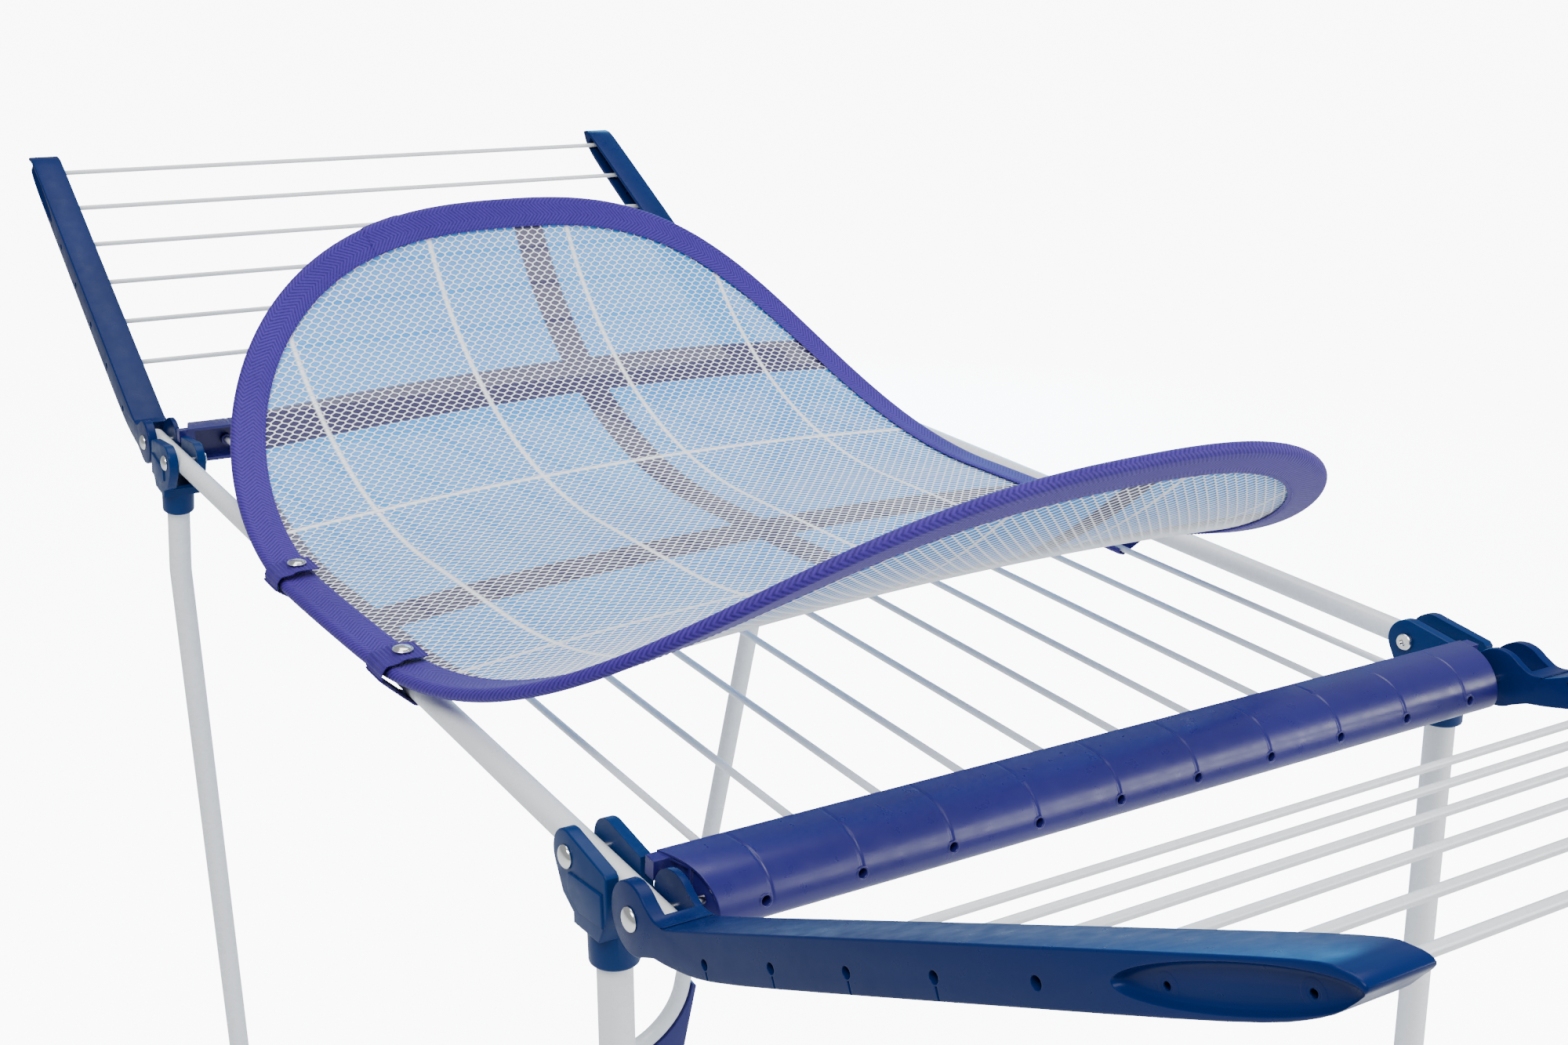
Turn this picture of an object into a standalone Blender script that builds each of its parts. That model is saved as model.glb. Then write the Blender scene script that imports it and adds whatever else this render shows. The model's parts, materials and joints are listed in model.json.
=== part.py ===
"""Winged clothes airer with an oval flat-drying net strapped across its rods.

Units are metres and +Z is up. Each group is modelled around its own origin: the rack
around the middle of its rails, a wing around its hinge pins, a leg frame around its
pivot pins. Parent empties then put the groups in place, so the floor is at z = 0 and
the middle of the overall box is at x = y = 0.
"""
import math

import bmesh
import bpy
from mathutils import Vector

for old_object in list(bpy.data.objects):
    bpy.data.objects.remove(old_object, do_unlink=True)

# ---- driving dimensions (metres) -------------------------------------------------
GAP = 0.0003               # air between pieces that touch
RACK_HEIGHT = 0.730        # floor to the rails' axes

ROD_COUNT = 10             # drying rods between the crossbeams
ROD_PITCH = 0.050
ROD_RADIUS = 0.0020
ROD_HOLE_CLEARANCE = 0.0004

RAIL_RADIUS = 0.0068
RAIL_WALL = 0.0010
RAIL_SIDE_ROOM = 0.0465    # outermost rod to the rail's axis
RAIL_OVERHANG = 0.0150     # rail end beyond the wing's hinge pin

WING_HINGE_X = 0.3693      # rack middle to a wing's hinge pin
LEG_PIVOT_X = 0.3126       # rack middle to a leg frame's pivot pin
PIN_RISE = 0.0020          # pins above the rails' axes
PIN_RADIUS = 0.0022
PIN_CLEARANCE = 0.0004
PIN_HEAD_RADIUS = 0.0056
PIN_HEAD_HEIGHT = 0.0026

CHEEK_OUTER = 0.0065       # thickness of a fork's outer cheek
ARM_CHEEK_INNER = 0.0038   # thickness of the wing fork's inner cheek
BRACKET_CHEEK_INNER = 0.0062

BEAM_INNER_X = 0.3450      # edge that faces the rods
BEAM_WIDTH = 0.0350
BEAM_TOP = 0.0158
BEAM_BOTTOM = -0.0130
BEAM_SHELL = 0.0026
BEAM_CHANNEL = 0.0170      # depth of the recess on the rods' side
BEAM_END_GAP = 0.0020      # beam end to the wing fork
BEAM_END_TAPER = 0.0110    # how much shorter the outer edge is, at each end
BEAM_PIN_HOLE = 0.0110     # how far the hinge pin reaches into the beam
LUG_LENGTH = 0.0075        # beam lug that bears on the rail
LUG_HEIGHT = 0.0095
LUG_SINK = 0.0010          # lug's top below the beam's
BEAM_CLEARANCE = 0.0028    # beam to the leg brackets' inner cheeks

WING_REST_ANGLE = math.radians(28.9)
WING_ROD_COUNT = 6
WING_ROD_PITCH = 0.0491
WING_FIRST_ROD = 0.1048    # hinge pin to the wing's first rod
WING_ROD_DROP = 0.0174     # wing rods below the line through the hinge pin
ARM_REACH = 0.3695         # hinge pin to the arm's tip
ARM_CHEEK_RADIUS = 0.0162
ARM_TOP = -0.0045          # the arm's top edge below the pin's line
ARM_BOTTOM = -0.0252
ARM_SHELL = 0.0026
ARM_WEB = 0.0040           # thickness of the arm's outer wall
GRIP_LENGTH = 0.0850
GRIP_DEPTH = 0.0014

LEG_SPLAY = math.radians(5.83)
LEG_OFFSET = 0.0170        # leg tube's axis outside the pivot pin
LEG_RADIUS = 0.0082
LEG_WALL = 0.0010
LEG_BEND_RADIUS = 0.0750
LEG_NARROWING = 0.0800     # inward run per metre of the narrow frame's legs
LEG_STRAIGHT_TOP = 0.0950  # drop before the narrow frame's legs turn inward
SOCKET_TOP = -0.0215
SOCKET_BOTTOM = -0.0460
SOCKET_WALL = 0.0034
SOCKET_SEAT = 0.0045       # solid roof of the socket above the tube
BRACKET_CHEEK_RADIUS = 0.0125
BRACKET_REACH = 0.0360     # the cheek's outer corner, outward from the pin

FOOT_WALL = 0.0042         # plastic outside the tube
FOOT_THICKNESS = 0.0150
FOOT_RISE = 0.0880         # height of a foot's upper end above its sole
FOOT_REACH = 0.0850        # length of the sole
FOOT_SOLE = 0.0080         # plastic under the tube
FOOT_TOOTH = 0.0060
FOOT_NOTCH = 0.0020
FOOT_LAND = 0.0260         # flat end of the sole

HOOP_HALF_LENGTH = 0.3615  # flat oval, measured at the wire
HOOP_NEAR_REACH = 0.0210   # wire outside the near rail's middle
HOOP_FAR_REACH = 0.0195    # wire outside the last rod's middle
HOOP_SQUARENESS = 2.76     # 2 is an ellipse, larger is fuller at the corners
HOOP_CENTRE_X = 0.0280
HOOP_TURN = 0.0470         # radians, about the vertical
HOOP_CLEAR = 0.0037        # wire centre above the rails' tops
HOOP_FLAT = 0.0500         # half length of the flat middle
HOOP_CURL_LEFT = 3.60      # curvature of the upturned ends, 1/m
HOOP_CURL_RIGHT = 2.92
HOOP_CROWN = 0.0120        # the middle stands this much higher than the long sides
HOOP_SEGMENTS = 48
WIRE_RADIUS = 0.0019
BINDING_INNER = 0.0025     # inner radius where the binding rounds the wire
BINDING_CLOTH = 0.0010
BINDING_WIDTH = 0.0190     # wire to the binding's inner edge
BINDING_LIP = 0.0014       # half opening at the inner edge
NET_HALF_THICKNESS = 0.0006
NET_TUCK = 0.0080          # net edge to the wire
NET_RINGS = 5

STRAP_MIDDLE_X = 0.0400    # middle of the near pair of straps
STRAP_WIDTH = 0.0220
STRAP_CLOTH = 0.0013
STRAP_SPREAD = 0.0725      # strap to the middle of the near pair
STRAP_FAR_SHIFT = 0.0470   # the far pair sits this much further right
STRAP_FAR_SPREAD = 0.0240
STRAP_ROOM = 0.0010        # air between a strap and what it wraps
STRAP_RISE = 0.0022        # extra room over the binding's inner edge
STRAP_SLOPE = 0.0004       # rise from the strap's end to its snap
SNAP_RADIUS = 0.0060
SNAP_HEIGHT = 0.0022

# ---- sizes that follow from the ones above ---------------------------------------
ROD_HALF_SPAN = ROD_PITCH * (ROD_COUNT - 1) / 2
RAIL_Y = ROD_HALF_SPAN + RAIL_SIDE_ROOM
RAIL_INSIDE = RAIL_Y - RAIL_RADIUS - GAP
HOOP_HALF_WIDTH = (RAIL_Y + HOOP_NEAR_REACH + ROD_HALF_SPAN + HOOP_FAR_REACH) / 2
HOOP_CENTRE_Y = (ROD_HALF_SPAN + HOOP_FAR_REACH - RAIL_Y - HOOP_NEAR_REACH) / 2
RAIL_OUTSIDE = RAIL_Y + RAIL_RADIUS + GAP
RAIL_END_X = WING_HINGE_X + RAIL_OVERHANG
CHEEK_FACE = RAIL_OUTSIDE + CHEEK_OUTER
ARM_INSIDE = RAIL_INSIDE - ARM_CHEEK_INNER
BRACKET_INSIDE = RAIL_INSIDE - BRACKET_CHEEK_INNER
BEAM_END_Y = ARM_INSIDE - BEAM_END_GAP
BEAM_OUTER_X = BEAM_INNER_X + BEAM_WIDTH
BEAM_WEB_X = BEAM_INNER_X + BEAM_CHANNEL
PIVOT_HEIGHT = RACK_HEIGHT + PIN_RISE
SOCKET_RADIUS = LEG_RADIUS + GAP + SOCKET_WALL
HOOP_EDGE_Z = RAIL_RADIUS + HOOP_CLEAR
BINDING_OUTER = BINDING_INNER + BINDING_CLOTH

HOLE_SIDES = 8
ROD_SIDES = 8
TUBE_SIDES = 12
PIN_SIDES = 10


# ---- materials -------------------------------------------------------------------
def make_material(name, colour, roughness, metallic):
    """Return a Principled material."""
    mat = bpy.data.materials.new(name)
    mat.use_nodes = True
    shader = mat.node_tree.nodes["Principled BSDF"]
    shader.inputs["Base Color"].default_value = (*colour, 1.0)
    shader.inputs["Roughness"].default_value = roughness
    shader.inputs["Metallic"].default_value = metallic
    mat.diffuse_color = (*colour, 1.0)
    return mat


WHITE_COAT = make_material("white_powder_coat", (0.82, 0.83, 0.84), 0.30, 0.0)
NAVY_PLASTIC = make_material("navy_plastic", (0.018, 0.030, 0.170), 0.35, 0.0)
BLUE_PLASTIC = make_material("blue_plastic", (0.008, 0.045, 0.190), 0.38, 0.0)
NICKEL = make_material("nickel", (0.72, 0.71, 0.69), 0.22, 1.0)
SPRING_STEEL = make_material("spring_steel", (0.42, 0.43, 0.45), 0.35, 1.0)
PURPLE_WEBBING = make_material("purple_webbing", (0.075, 0.045, 0.380), 0.75, 0.0)
NET_CLOTH = make_material("net_cloth", (0.45, 0.72, 0.86), 0.80, 0.0)


# ---- building blocks -------------------------------------------------------------
def add_empty(name, parent=None, location=(0, 0, 0), turn=(0, 0, 0)):
    """Return an empty that carries a group."""
    empty = bpy.data.objects.new(name, None)
    bpy.context.scene.collection.objects.link(empty)
    empty.parent = parent
    empty.location = location
    empty.rotation_euler = turn
    return empty


def add_piece(name, mesh_data, material, parent):
    """Turn a bmesh into a named object on its parent."""
    bmesh.ops.recalc_face_normals(mesh_data, faces=mesh_data.faces)
    mesh = bpy.data.meshes.new(name)
    mesh_data.to_mesh(mesh)
    mesh_data.free()
    mesh.materials.append(material)
    mesh.shade_smooth()
    mesh.set_sharp_from_angle(angle=math.radians(35))
    piece = bpy.data.objects.new(name, mesh)
    bpy.context.scene.collection.objects.link(piece)
    piece.parent = parent
    return piece


def add_cutter(name, mesh_data, parent):
    """A hidden body for a Boolean."""
    cutter = add_piece(name, mesh_data, NAVY_PLASTIC, parent)
    cutter.hide_render = True
    cutter.display_type = "WIRE"
    return cutter


def boolean(piece, cutter, operation="DIFFERENCE"):
    """Cut or join a piece with a hidden body."""
    modifier = piece.modifiers.new(cutter.name, "BOOLEAN")
    modifier.operation = operation
    modifier.solver = "EXACT"
    modifier.object = cutter


def loft(mesh_data, rings, wrap=False):
    """Skin closed rings of points, with caps unless the last ring meets the first."""
    rows = [[mesh_data.verts.new(point) for point in ring] for ring in rings]
    pairs = list(zip(rows, rows[1:]))
    if wrap:
        pairs.append((rows[-1], rows[0]))
    count = len(rings[0])
    for row, following in pairs:
        for i in range(count):
            j = (i + 1) % count
            mesh_data.faces.new((row[i], row[j], following[j], following[i]))
    if not wrap:
        mesh_data.faces.new(rows[0])
        mesh_data.faces.new(rows[-1])
    return mesh_data


def prism(outline, low, high):
    """Extrude an outline in X and Z along Y."""
    rings = [[Vector((x, y, z)) for x, z in outline] for y in (low, high)]
    return loft(bmesh.new(), rings)


def circle_ring(centre, tangent, binormal, radius, sides):
    """Points on a circle around a tangent; binormal is at right angles to it."""
    side = tangent.cross(binormal).normalized()
    ring = []
    for i in range(sides):
        angle = 2 * math.pi * (i + 0.5) / sides
        ring.append(centre + radius * (math.cos(angle) * binormal + math.sin(angle) * side))
    return ring


def path_tangents(path):
    """Unit tangents at the points of an open path."""
    tangents = []
    for i in range(len(path)):
        before = path[max(i - 1, 0)]
        after = path[min(i + 1, len(path) - 1)]
        tangents.append((after - before).normalized())
    return tangents


def bar(mesh_data, path, binormal, radius, sides):
    """A solid round bar along a path."""
    tangents = path_tangents(path)
    rings = [circle_ring(p, t, binormal, radius, sides) for p, t in zip(path, tangents)]
    return loft(mesh_data, rings)


def tube(path, binormal, radius, wall, sides):
    """A round tube with open ends along a path."""
    tangents = path_tangents(path)
    outer = [circle_ring(p, t, binormal, radius, sides) for p, t in zip(path, tangents)]
    inner = [circle_ring(p, t, binormal, radius - wall, sides) for p, t in zip(path, tangents)]
    return loft(bmesh.new(), outer + inner[::-1], wrap=True)


def turned(profile, sides):
    """Turn (distance, radius) pairs around the Y axis."""
    rings = []
    for y, radius in profile:
        rings.append(circle_ring(Vector((0, y, 0)), Vector((0, 1, 0)), Vector((1, 0, 0)), radius, sides))
    return loft(bmesh.new(), rings)


def arc(centre, radius, start, end, steps):
    """Points on an arc, with angles in degrees from +X towards +Z."""
    points = []
    for i in range(steps + 1):
        angle = math.radians(start + (end - start) * i / steps)
        points.append((centre[0] + radius * math.cos(angle), centre[1] + radius * math.sin(angle)))
    return points


def fillet(corner, before, after, radius, steps):
    """Round the corner between two straight runs of a 2D path."""
    corner = Vector(corner)
    back = (Vector(before) - corner).normalized()
    ahead = (Vector(after) - corner).normalized()
    half = back.angle(ahead) / 2
    centre = corner + (back + ahead).normalized() * radius / math.sin(half)
    first = corner + back * radius / math.tan(half) - centre
    sweep = math.pi - 2 * half
    if first.cross(corner + ahead * radius / math.tan(half) - centre) < 0:
        sweep = -sweep
    points = []
    for i in range(steps + 1):
        angle = sweep * i / steps
        turned_x = first.x * math.cos(angle) - first.y * math.sin(angle)
        turned_y = first.x * math.sin(angle) + first.y * math.cos(angle)
        points.append(centre + Vector((turned_x, turned_y)))
    return points


def hole_bar(mesh_data, centre, direction, half_length, radius):
    """Add a round cutting bar to a cutter."""
    direction = Vector(direction)
    binormal = Vector((0, 0, 1)) if abs(direction.z) < 0.5 else Vector((1, 0, 0))
    ends = [Vector(centre) - direction * half_length, Vector(centre) + direction * half_length]
    return bar(mesh_data, ends, binormal, radius, HOLE_SIDES)


# ---- rack: rails, crossbeams and rods --------------------------------------------
def rod_y(index):
    """Side position of a drying rod."""
    return -ROD_HALF_SPAN + index * ROD_PITCH


def make_rail(name, side, rack):
    """One side tube, drilled for the leg pins and the hinge pins."""
    ends = [Vector((-RAIL_END_X, side * RAIL_Y, 0)), Vector((RAIL_END_X, side * RAIL_Y, 0))]
    rail = add_piece(name, tube(ends, Vector((0, 0, 1)), RAIL_RADIUS, RAIL_WALL, TUBE_SIDES),
                     WHITE_COAT, rack)
    drills = bmesh.new()
    for x in (-WING_HINGE_X, -LEG_PIVOT_X, LEG_PIVOT_X, WING_HINGE_X):
        hole_bar(drills, (x, side * RAIL_Y, PIN_RISE), (0, 1, 0), 2 * RAIL_RADIUS,
                 PIN_RADIUS + PIN_CLEARANCE)
    boolean(rail, add_cutter(name + "_drills", drills, rack))


def beam_outline():
    """Section of a crossbeam: a rounded nose with a channel on the rods' side."""
    x0, x1 = BEAM_INNER_X, BEAM_OUTER_X
    shell = BEAM_SHELL
    nose = [(x0 + 0.40 * BEAM_WIDTH, BEAM_TOP), (x0 + 0.70 * BEAM_WIDTH, BEAM_TOP - 0.0030),
            (x0 + 0.91 * BEAM_WIDTH, BEAM_TOP - 0.0095), (x1, BEAM_TOP - 0.0175),
            (x1 - 0.0012, BEAM_BOTTOM + 0.0050), (x1 - 0.0070, BEAM_BOTTOM)]
    channel = [(x0 + 0.0060, BEAM_BOTTOM), (x0 + 0.0060, BEAM_BOTTOM + shell),
               (BEAM_WEB_X, BEAM_BOTTOM + shell), (BEAM_WEB_X, BEAM_TOP - shell),
               (x0, BEAM_TOP - shell)]
    return [(x0, BEAM_TOP - 0.0006)] + nose + channel


def make_crossbeam(name, end):
    """One crossbeam on an end empty whose +X points outward."""
    outline = beam_outline()
    rings = []
    for side in (-1, 1):
        ring = []
        for x, z in outline:
            taper = BEAM_END_TAPER * (x - BEAM_INNER_X) / BEAM_WIDTH
            ring.append(Vector((x, side * (BEAM_END_Y - taper), z)))
        rings.append(ring)
    beam = add_piece(name, loft(bmesh.new(), rings), NAVY_PLASTIC, end)
    lugs = bmesh.new()
    for side in (-1, 1):
        lug_y = [side * (BEAM_END_Y - 2 * BEAM_SHELL), side * RAIL_INSIDE]
        lug_x = (BEAM_INNER_X + GAP, BEAM_INNER_X + LUG_LENGTH)
        lug_z = (BEAM_TOP - LUG_SINK, BEAM_TOP - LUG_SINK - LUG_HEIGHT)
        lug = [(lug_x[0], lug_z[0]), (lug_x[0], lug_z[1]), (lug_x[1], lug_z[1]), (lug_x[1], lug_z[0])]
        loft(lugs, [[Vector((x, y, z)) for x, z in lug] for y in lug_y])
    boolean(beam, add_cutter(name + "_lugs", lugs, end), "UNION")
    drills = bmesh.new()
    for index in range(ROD_COUNT):
        hole_bar(drills, (BEAM_OUTER_X, rod_y(index), 0), (1, 0, 0), BEAM_WIDTH,
                 ROD_RADIUS + ROD_HOLE_CLEARANCE)
    for side in (-1, 1):
        hole_bar(drills, (WING_HINGE_X, side * BEAM_END_Y, PIN_RISE), (0, 1, 0),
                 BEAM_PIN_HOLE, PIN_RADIUS + PIN_CLEARANCE)
    boolean(beam, add_cutter(name + "_drills", drills, end))


def make_centre_rod(index, rack):
    """A drying rod with its ends inside the crossbeams' noses."""
    half = BEAM_OUTER_X - 2 * BEAM_SHELL
    ends = [Vector((-half, rod_y(index), 0)), Vector((half, rod_y(index), 0))]
    rod = bar(bmesh.new(), ends, Vector((0, 0, 1)), ROD_RADIUS, ROD_SIDES)
    add_piece("centre_rod_%02d" % (index + 1), rod, WHITE_COAT, rack)


# ---- pins ------------------------------------------------------------------------
def headed_pin(side, inner, outer, tail_radius):
    """A domed pin from its head's seat at outer down to inner; tail_radius sets its end."""
    head = outer + GAP
    profile = [(head + PIN_HEAD_HEIGHT, PIN_HEAD_RADIUS * 0.35),
               (head + PIN_HEAD_HEIGHT * 0.75, PIN_HEAD_RADIUS * 0.75),
               (head + PIN_HEAD_HEIGHT * 0.30, PIN_HEAD_RADIUS),
               (head, PIN_HEAD_RADIUS), (head, PIN_RADIUS)]
    if tail_radius > PIN_RADIUS:
        tail = inner - GAP
        profile += [(tail, PIN_RADIUS), (tail, tail_radius),
                    (tail - PIN_HEAD_HEIGHT, tail_radius)]
    else:
        profile += [(inner, PIN_RADIUS)]
    return turned([(side * y, radius) for y, radius in profile], PIN_SIDES)


def make_wing_pin(name, side, pivot):
    """The hinge pin through the wing fork and the rail into the beam's end."""
    pin = headed_pin(side, BEAM_END_Y - BEAM_PIN_HOLE * 0.8, CHEEK_FACE, PIN_RADIUS)
    add_piece(name, pin, NICKEL, pivot)


def make_leg_pin(name, side, pivot):
    """The pivot pin through the leg bracket and the rail."""
    pin = headed_pin(side, BRACKET_INSIDE, CHEEK_FACE, PIN_HEAD_RADIUS * 0.85)
    add_piece(name, pin, NICKEL, pivot)


# ---- wings -----------------------------------------------------------------------
def arm_outline():
    """Side view of a wing arm, with the hinge pin at (0, 0)."""
    reach = ARM_REACH
    top = [(0.0225, ARM_TOP + 0.0030), (0.034, ARM_TOP), (reach * 0.76, ARM_TOP - 0.0027),
           (reach * 0.945, ARM_TOP - 0.0038), (reach * 0.985, ARM_TOP - 0.0060)]
    tip = [(reach, ARM_TOP - 0.0095), (reach * 0.985, ARM_BOTTOM + 0.0075),
           (reach * 0.955, ARM_BOTTOM + 0.0028)]
    bottom = [(reach * 0.87, ARM_BOTTOM + 0.0003), (reach * 0.60, ARM_BOTTOM),
              (0.052, ARM_BOTTOM + 0.0004), (0.026, ARM_BOTTOM + 0.0045)]
    cheek = arc((0, 0), ARM_CHEEK_RADIUS, 285, 25, 10)
    return top + tip + bottom + cheek


def arm_slot_outline():
    """Space for the rail between the fork's cheeks, at every angle of the wing."""
    reach = math.hypot(RAIL_OVERHANG, RAIL_RADIUS + PIN_RISE) + 6 * GAP
    return [(-2 * ARM_CHEEK_RADIUS, -2 * ARM_CHEEK_RADIUS), (reach, -2 * ARM_CHEEK_RADIUS),
            (reach, 2 * ARM_CHEEK_RADIUS), (-2 * ARM_CHEEK_RADIUS, 2 * ARM_CHEEK_RADIUS)]


def arm_pocket_outline():
    """The hollow on an arm's inner side."""
    low, high = ARM_BOTTOM + ARM_SHELL, ARM_TOP - 0.0005 - ARM_SHELL
    end = wing_rod_s(WING_ROD_COUNT - 1) + 2 * ROD_RADIUS
    return [(0.040, low + 0.002), (0.052, low + 0.0004), (ARM_REACH * 0.60, low), (end, low + 0.0022),
            (end, high - 0.0030), (0.040, high)]


def grip_outline():
    """The long finger recess near an arm's tip."""
    middle = ARM_REACH - GRIP_LENGTH * 0.51
    half_height = (ARM_TOP - ARM_BOTTOM) * 0.27
    points = []
    for i in range(16):
        angle = 2 * math.pi * i / 16
        points.append((middle + GRIP_LENGTH / 2 * math.cos(angle),
                       -WING_ROD_DROP + 0.0008 + half_height * math.sin(angle)))
    return points


def wing_rod_s(index):
    """Distance of a wing rod from the hinge pin, along the arm."""
    return WING_FIRST_ROD + index * WING_ROD_PITCH


def make_wing_arm(name, side, pivot):
    """A channel-shaped arm with a fork at its hinge end."""
    outer = side * CHEEK_FACE
    arm = add_piece(name, prism(arm_outline(), side * ARM_INSIDE, outer), NAVY_PLASTIC, pivot)
    slot = prism(arm_slot_outline(), side * RAIL_INSIDE, side * RAIL_OUTSIDE)
    boolean(arm, add_cutter(name + "_slot", slot, pivot))
    pocket_floor = side * (CHEEK_FACE - ARM_WEB)
    pocket = prism(arm_pocket_outline(), side * (ARM_INSIDE - ARM_WEB), pocket_floor)
    boolean(arm, add_cutter(name + "_pocket", pocket, pivot))
    grip = prism(grip_outline(), side * (CHEEK_FACE - GRIP_DEPTH), side * (CHEEK_FACE + ARM_WEB))
    boolean(arm, add_cutter(name + "_grip", grip, pivot))
    drills = bmesh.new()
    for index in range(-1, WING_ROD_COUNT):
        hole_bar(drills, (wing_rod_s(index), outer, -WING_ROD_DROP), (0, 1, 0), 2 * ARM_WEB,
                 ROD_RADIUS + ROD_HOLE_CLEARANCE)
    hole_bar(drills, (0, side * RAIL_Y, 0), (0, 1, 0), 4 * RAIL_RADIUS,
             PIN_RADIUS + PIN_CLEARANCE)
    boolean(arm, add_cutter(name + "_drills", drills, pivot))


def make_wing_rod(name, index, pivot):
    """A wing rod with its ends in the arms' outer walls."""
    half = CHEEK_FACE - GRIP_DEPTH - ARM_WEB * 0.25
    s = wing_rod_s(index)
    ends = [Vector((s, -half, -WING_ROD_DROP)), Vector((s, half, -WING_ROD_DROP))]
    add_piece(name, bar(bmesh.new(), ends, Vector((0, 0, 1)), ROD_RADIUS, ROD_SIDES),
              WHITE_COAT, pivot)


def make_wing(prefix, rack, turn):
    """One wing; its empty's X axis runs out along the arms."""
    place = (math.cos(turn) * WING_HINGE_X, 0, PIN_RISE)
    pivot = add_empty(prefix + "_wing_axis", rack, place, (0, -WING_REST_ANGLE, turn))
    facing = 1 if turn == 0 else -1
    for label, side in (("near", -1), ("far", 1)):
        make_wing_arm("%s_wing_arm_%s" % (prefix, label), side * facing, pivot)
    for index in range(WING_ROD_COUNT):
        make_wing_rod("%s_wing_rod_%d" % (prefix, index + 1), index, pivot)


# ---- leg frames ------------------------------------------------------------------
def leg_drop(outward=0.0):
    """Length down a splayed leg frame, from its pivot to the floor."""
    return (PIVOT_HEIGHT + outward * math.sin(LEG_SPLAY)) / math.cos(LEG_SPLAY)


def leg_corner(narrowing, offset=0.0, sole=None):
    """Corner of a leg's line and its bottom bar, moved outward by offset, as (y, z)."""
    bar_z = -(leg_drop() - FOOT_SOLE - LEG_RADIUS)
    z = bar_z - offset if sole is None else sole
    inward = narrowing * (-z - LEG_STRAIGHT_TOP)
    slant = math.hypot(1, narrowing)
    return Vector((-(RAIL_Y - inward + offset * slant), z))


def leg_line_point(narrowing, z, offset=0.0):
    """Point at height z on a leg's line below its straight top, moved outward."""
    return leg_corner(narrowing, offset, z)


def leg_path(narrowing):
    """Centre line of a U-shaped leg tube, near side first."""
    top = Vector((-RAIL_Y, SOCKET_TOP - SOCKET_SEAT))
    corner = leg_corner(narrowing)
    middle = Vector((0, corner.y))
    half = [top]
    start = top
    if narrowing:
        knee = Vector((-RAIL_Y, -LEG_STRAIGHT_TOP))
        half += fillet(knee, top, corner, LEG_BEND_RADIUS, 2)
        start = knee
    half += fillet(corner, start, middle, LEG_BEND_RADIUS, 7)
    far_half = [Vector((-p.x, p.y)) for p in half[::-1]]
    return [Vector((LEG_OFFSET, p.x, p.y)) for p in half + far_half]


def make_leg_tube(name, narrowing, pivot):
    """The U-shaped tube of a leg frame."""
    shape = tube(leg_path(narrowing), Vector((1, 0, 0)), LEG_RADIUS, LEG_WALL, TUBE_SIDES)
    add_piece(name, shape, WHITE_COAT, pivot)


def bracket_outline():
    """Side view of a leg bracket's cheeks, with the pivot pin at (0, 0)."""
    back = LEG_OFFSET - SOCKET_RADIUS
    cheek = arc((0, 0), BRACKET_CHEEK_RADIUS, 70, 205, 7)
    lower = [(-0.0045, -0.0185), (back, SOCKET_TOP - 0.0030), (back, SOCKET_TOP - 0.0080),
             (LEG_OFFSET + SOCKET_RADIUS - 0.0010, SOCKET_TOP - 0.0080)]
    outer = [(BRACKET_REACH, -0.0150), (BRACKET_REACH, 0.0045)]
    return cheek + lower + outer


def make_bracket(name, side, pivot):
    """A fork over the rail with a socket for the leg tube."""
    fork = prism(bracket_outline(), side * BRACKET_INSIDE, side * CHEEK_FACE)
    bracket = add_piece(name, fork, BLUE_PLASTIC, pivot)
    axis = Vector((LEG_OFFSET, side * RAIL_Y, 0))
    slot = [(-0.05, 0.05), (-0.05, SOCKET_TOP - 0.0060), (0.0020, SOCKET_TOP - 0.0060),
            (LEG_OFFSET - SOCKET_RADIUS, SOCKET_TOP), (0.06, SOCKET_TOP), (0.06, 0.05)]
    boolean(bracket, add_cutter(name + "_slot", prism(slot, side * RAIL_INSIDE, side * RAIL_OUTSIDE),
                                pivot))
    reach = BEAM_INNER_X - LEG_PIVOT_X - BEAM_CLEARANCE
    trim = prism([(reach, -0.05), (0.06, -0.05), (0.06, 0.05), (reach, 0.05)],
                 side * (BRACKET_INSIDE - 0.002), side * (RAIL_INSIDE + 0.001))
    boolean(bracket, add_cutter(name + "_trim", trim, pivot))
    levels = [(SOCKET_TOP, SOCKET_RADIUS * 0.94), (SOCKET_TOP - 0.002, SOCKET_RADIUS),
              (SOCKET_BOTTOM + 0.002, SOCKET_RADIUS * 0.97), (SOCKET_BOTTOM, SOCKET_RADIUS * 0.88)]
    rings = [circle_ring(axis + Vector((0, 0, z)), Vector((0, 0, 1)), Vector((1, 0, 0)), r, TUBE_SIDES)
             for z, r in levels]
    boolean(bracket, add_cutter(name + "_socket", loft(bmesh.new(), rings), pivot), "UNION")
    bore = bmesh.new()
    ends = [axis + Vector((0, 0, SOCKET_TOP - SOCKET_SEAT + GAP)), axis + Vector((0, 0, -0.1))]
    bar(bore, ends, Vector((1, 0, 0)), (LEG_RADIUS + GAP) / math.cos(math.pi / TUBE_SIDES), TUBE_SIDES)
    boolean(bracket, add_cutter(name + "_bore", bore, pivot))
    drill = hole_bar(bmesh.new(), (0, side * RAIL_Y, 0), (0, 1, 0), 4 * RAIL_RADIUS,
                     PIN_RADIUS + PIN_CLEARANCE)
    boolean(bracket, add_cutter(name + "_drill", drill, pivot))


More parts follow.
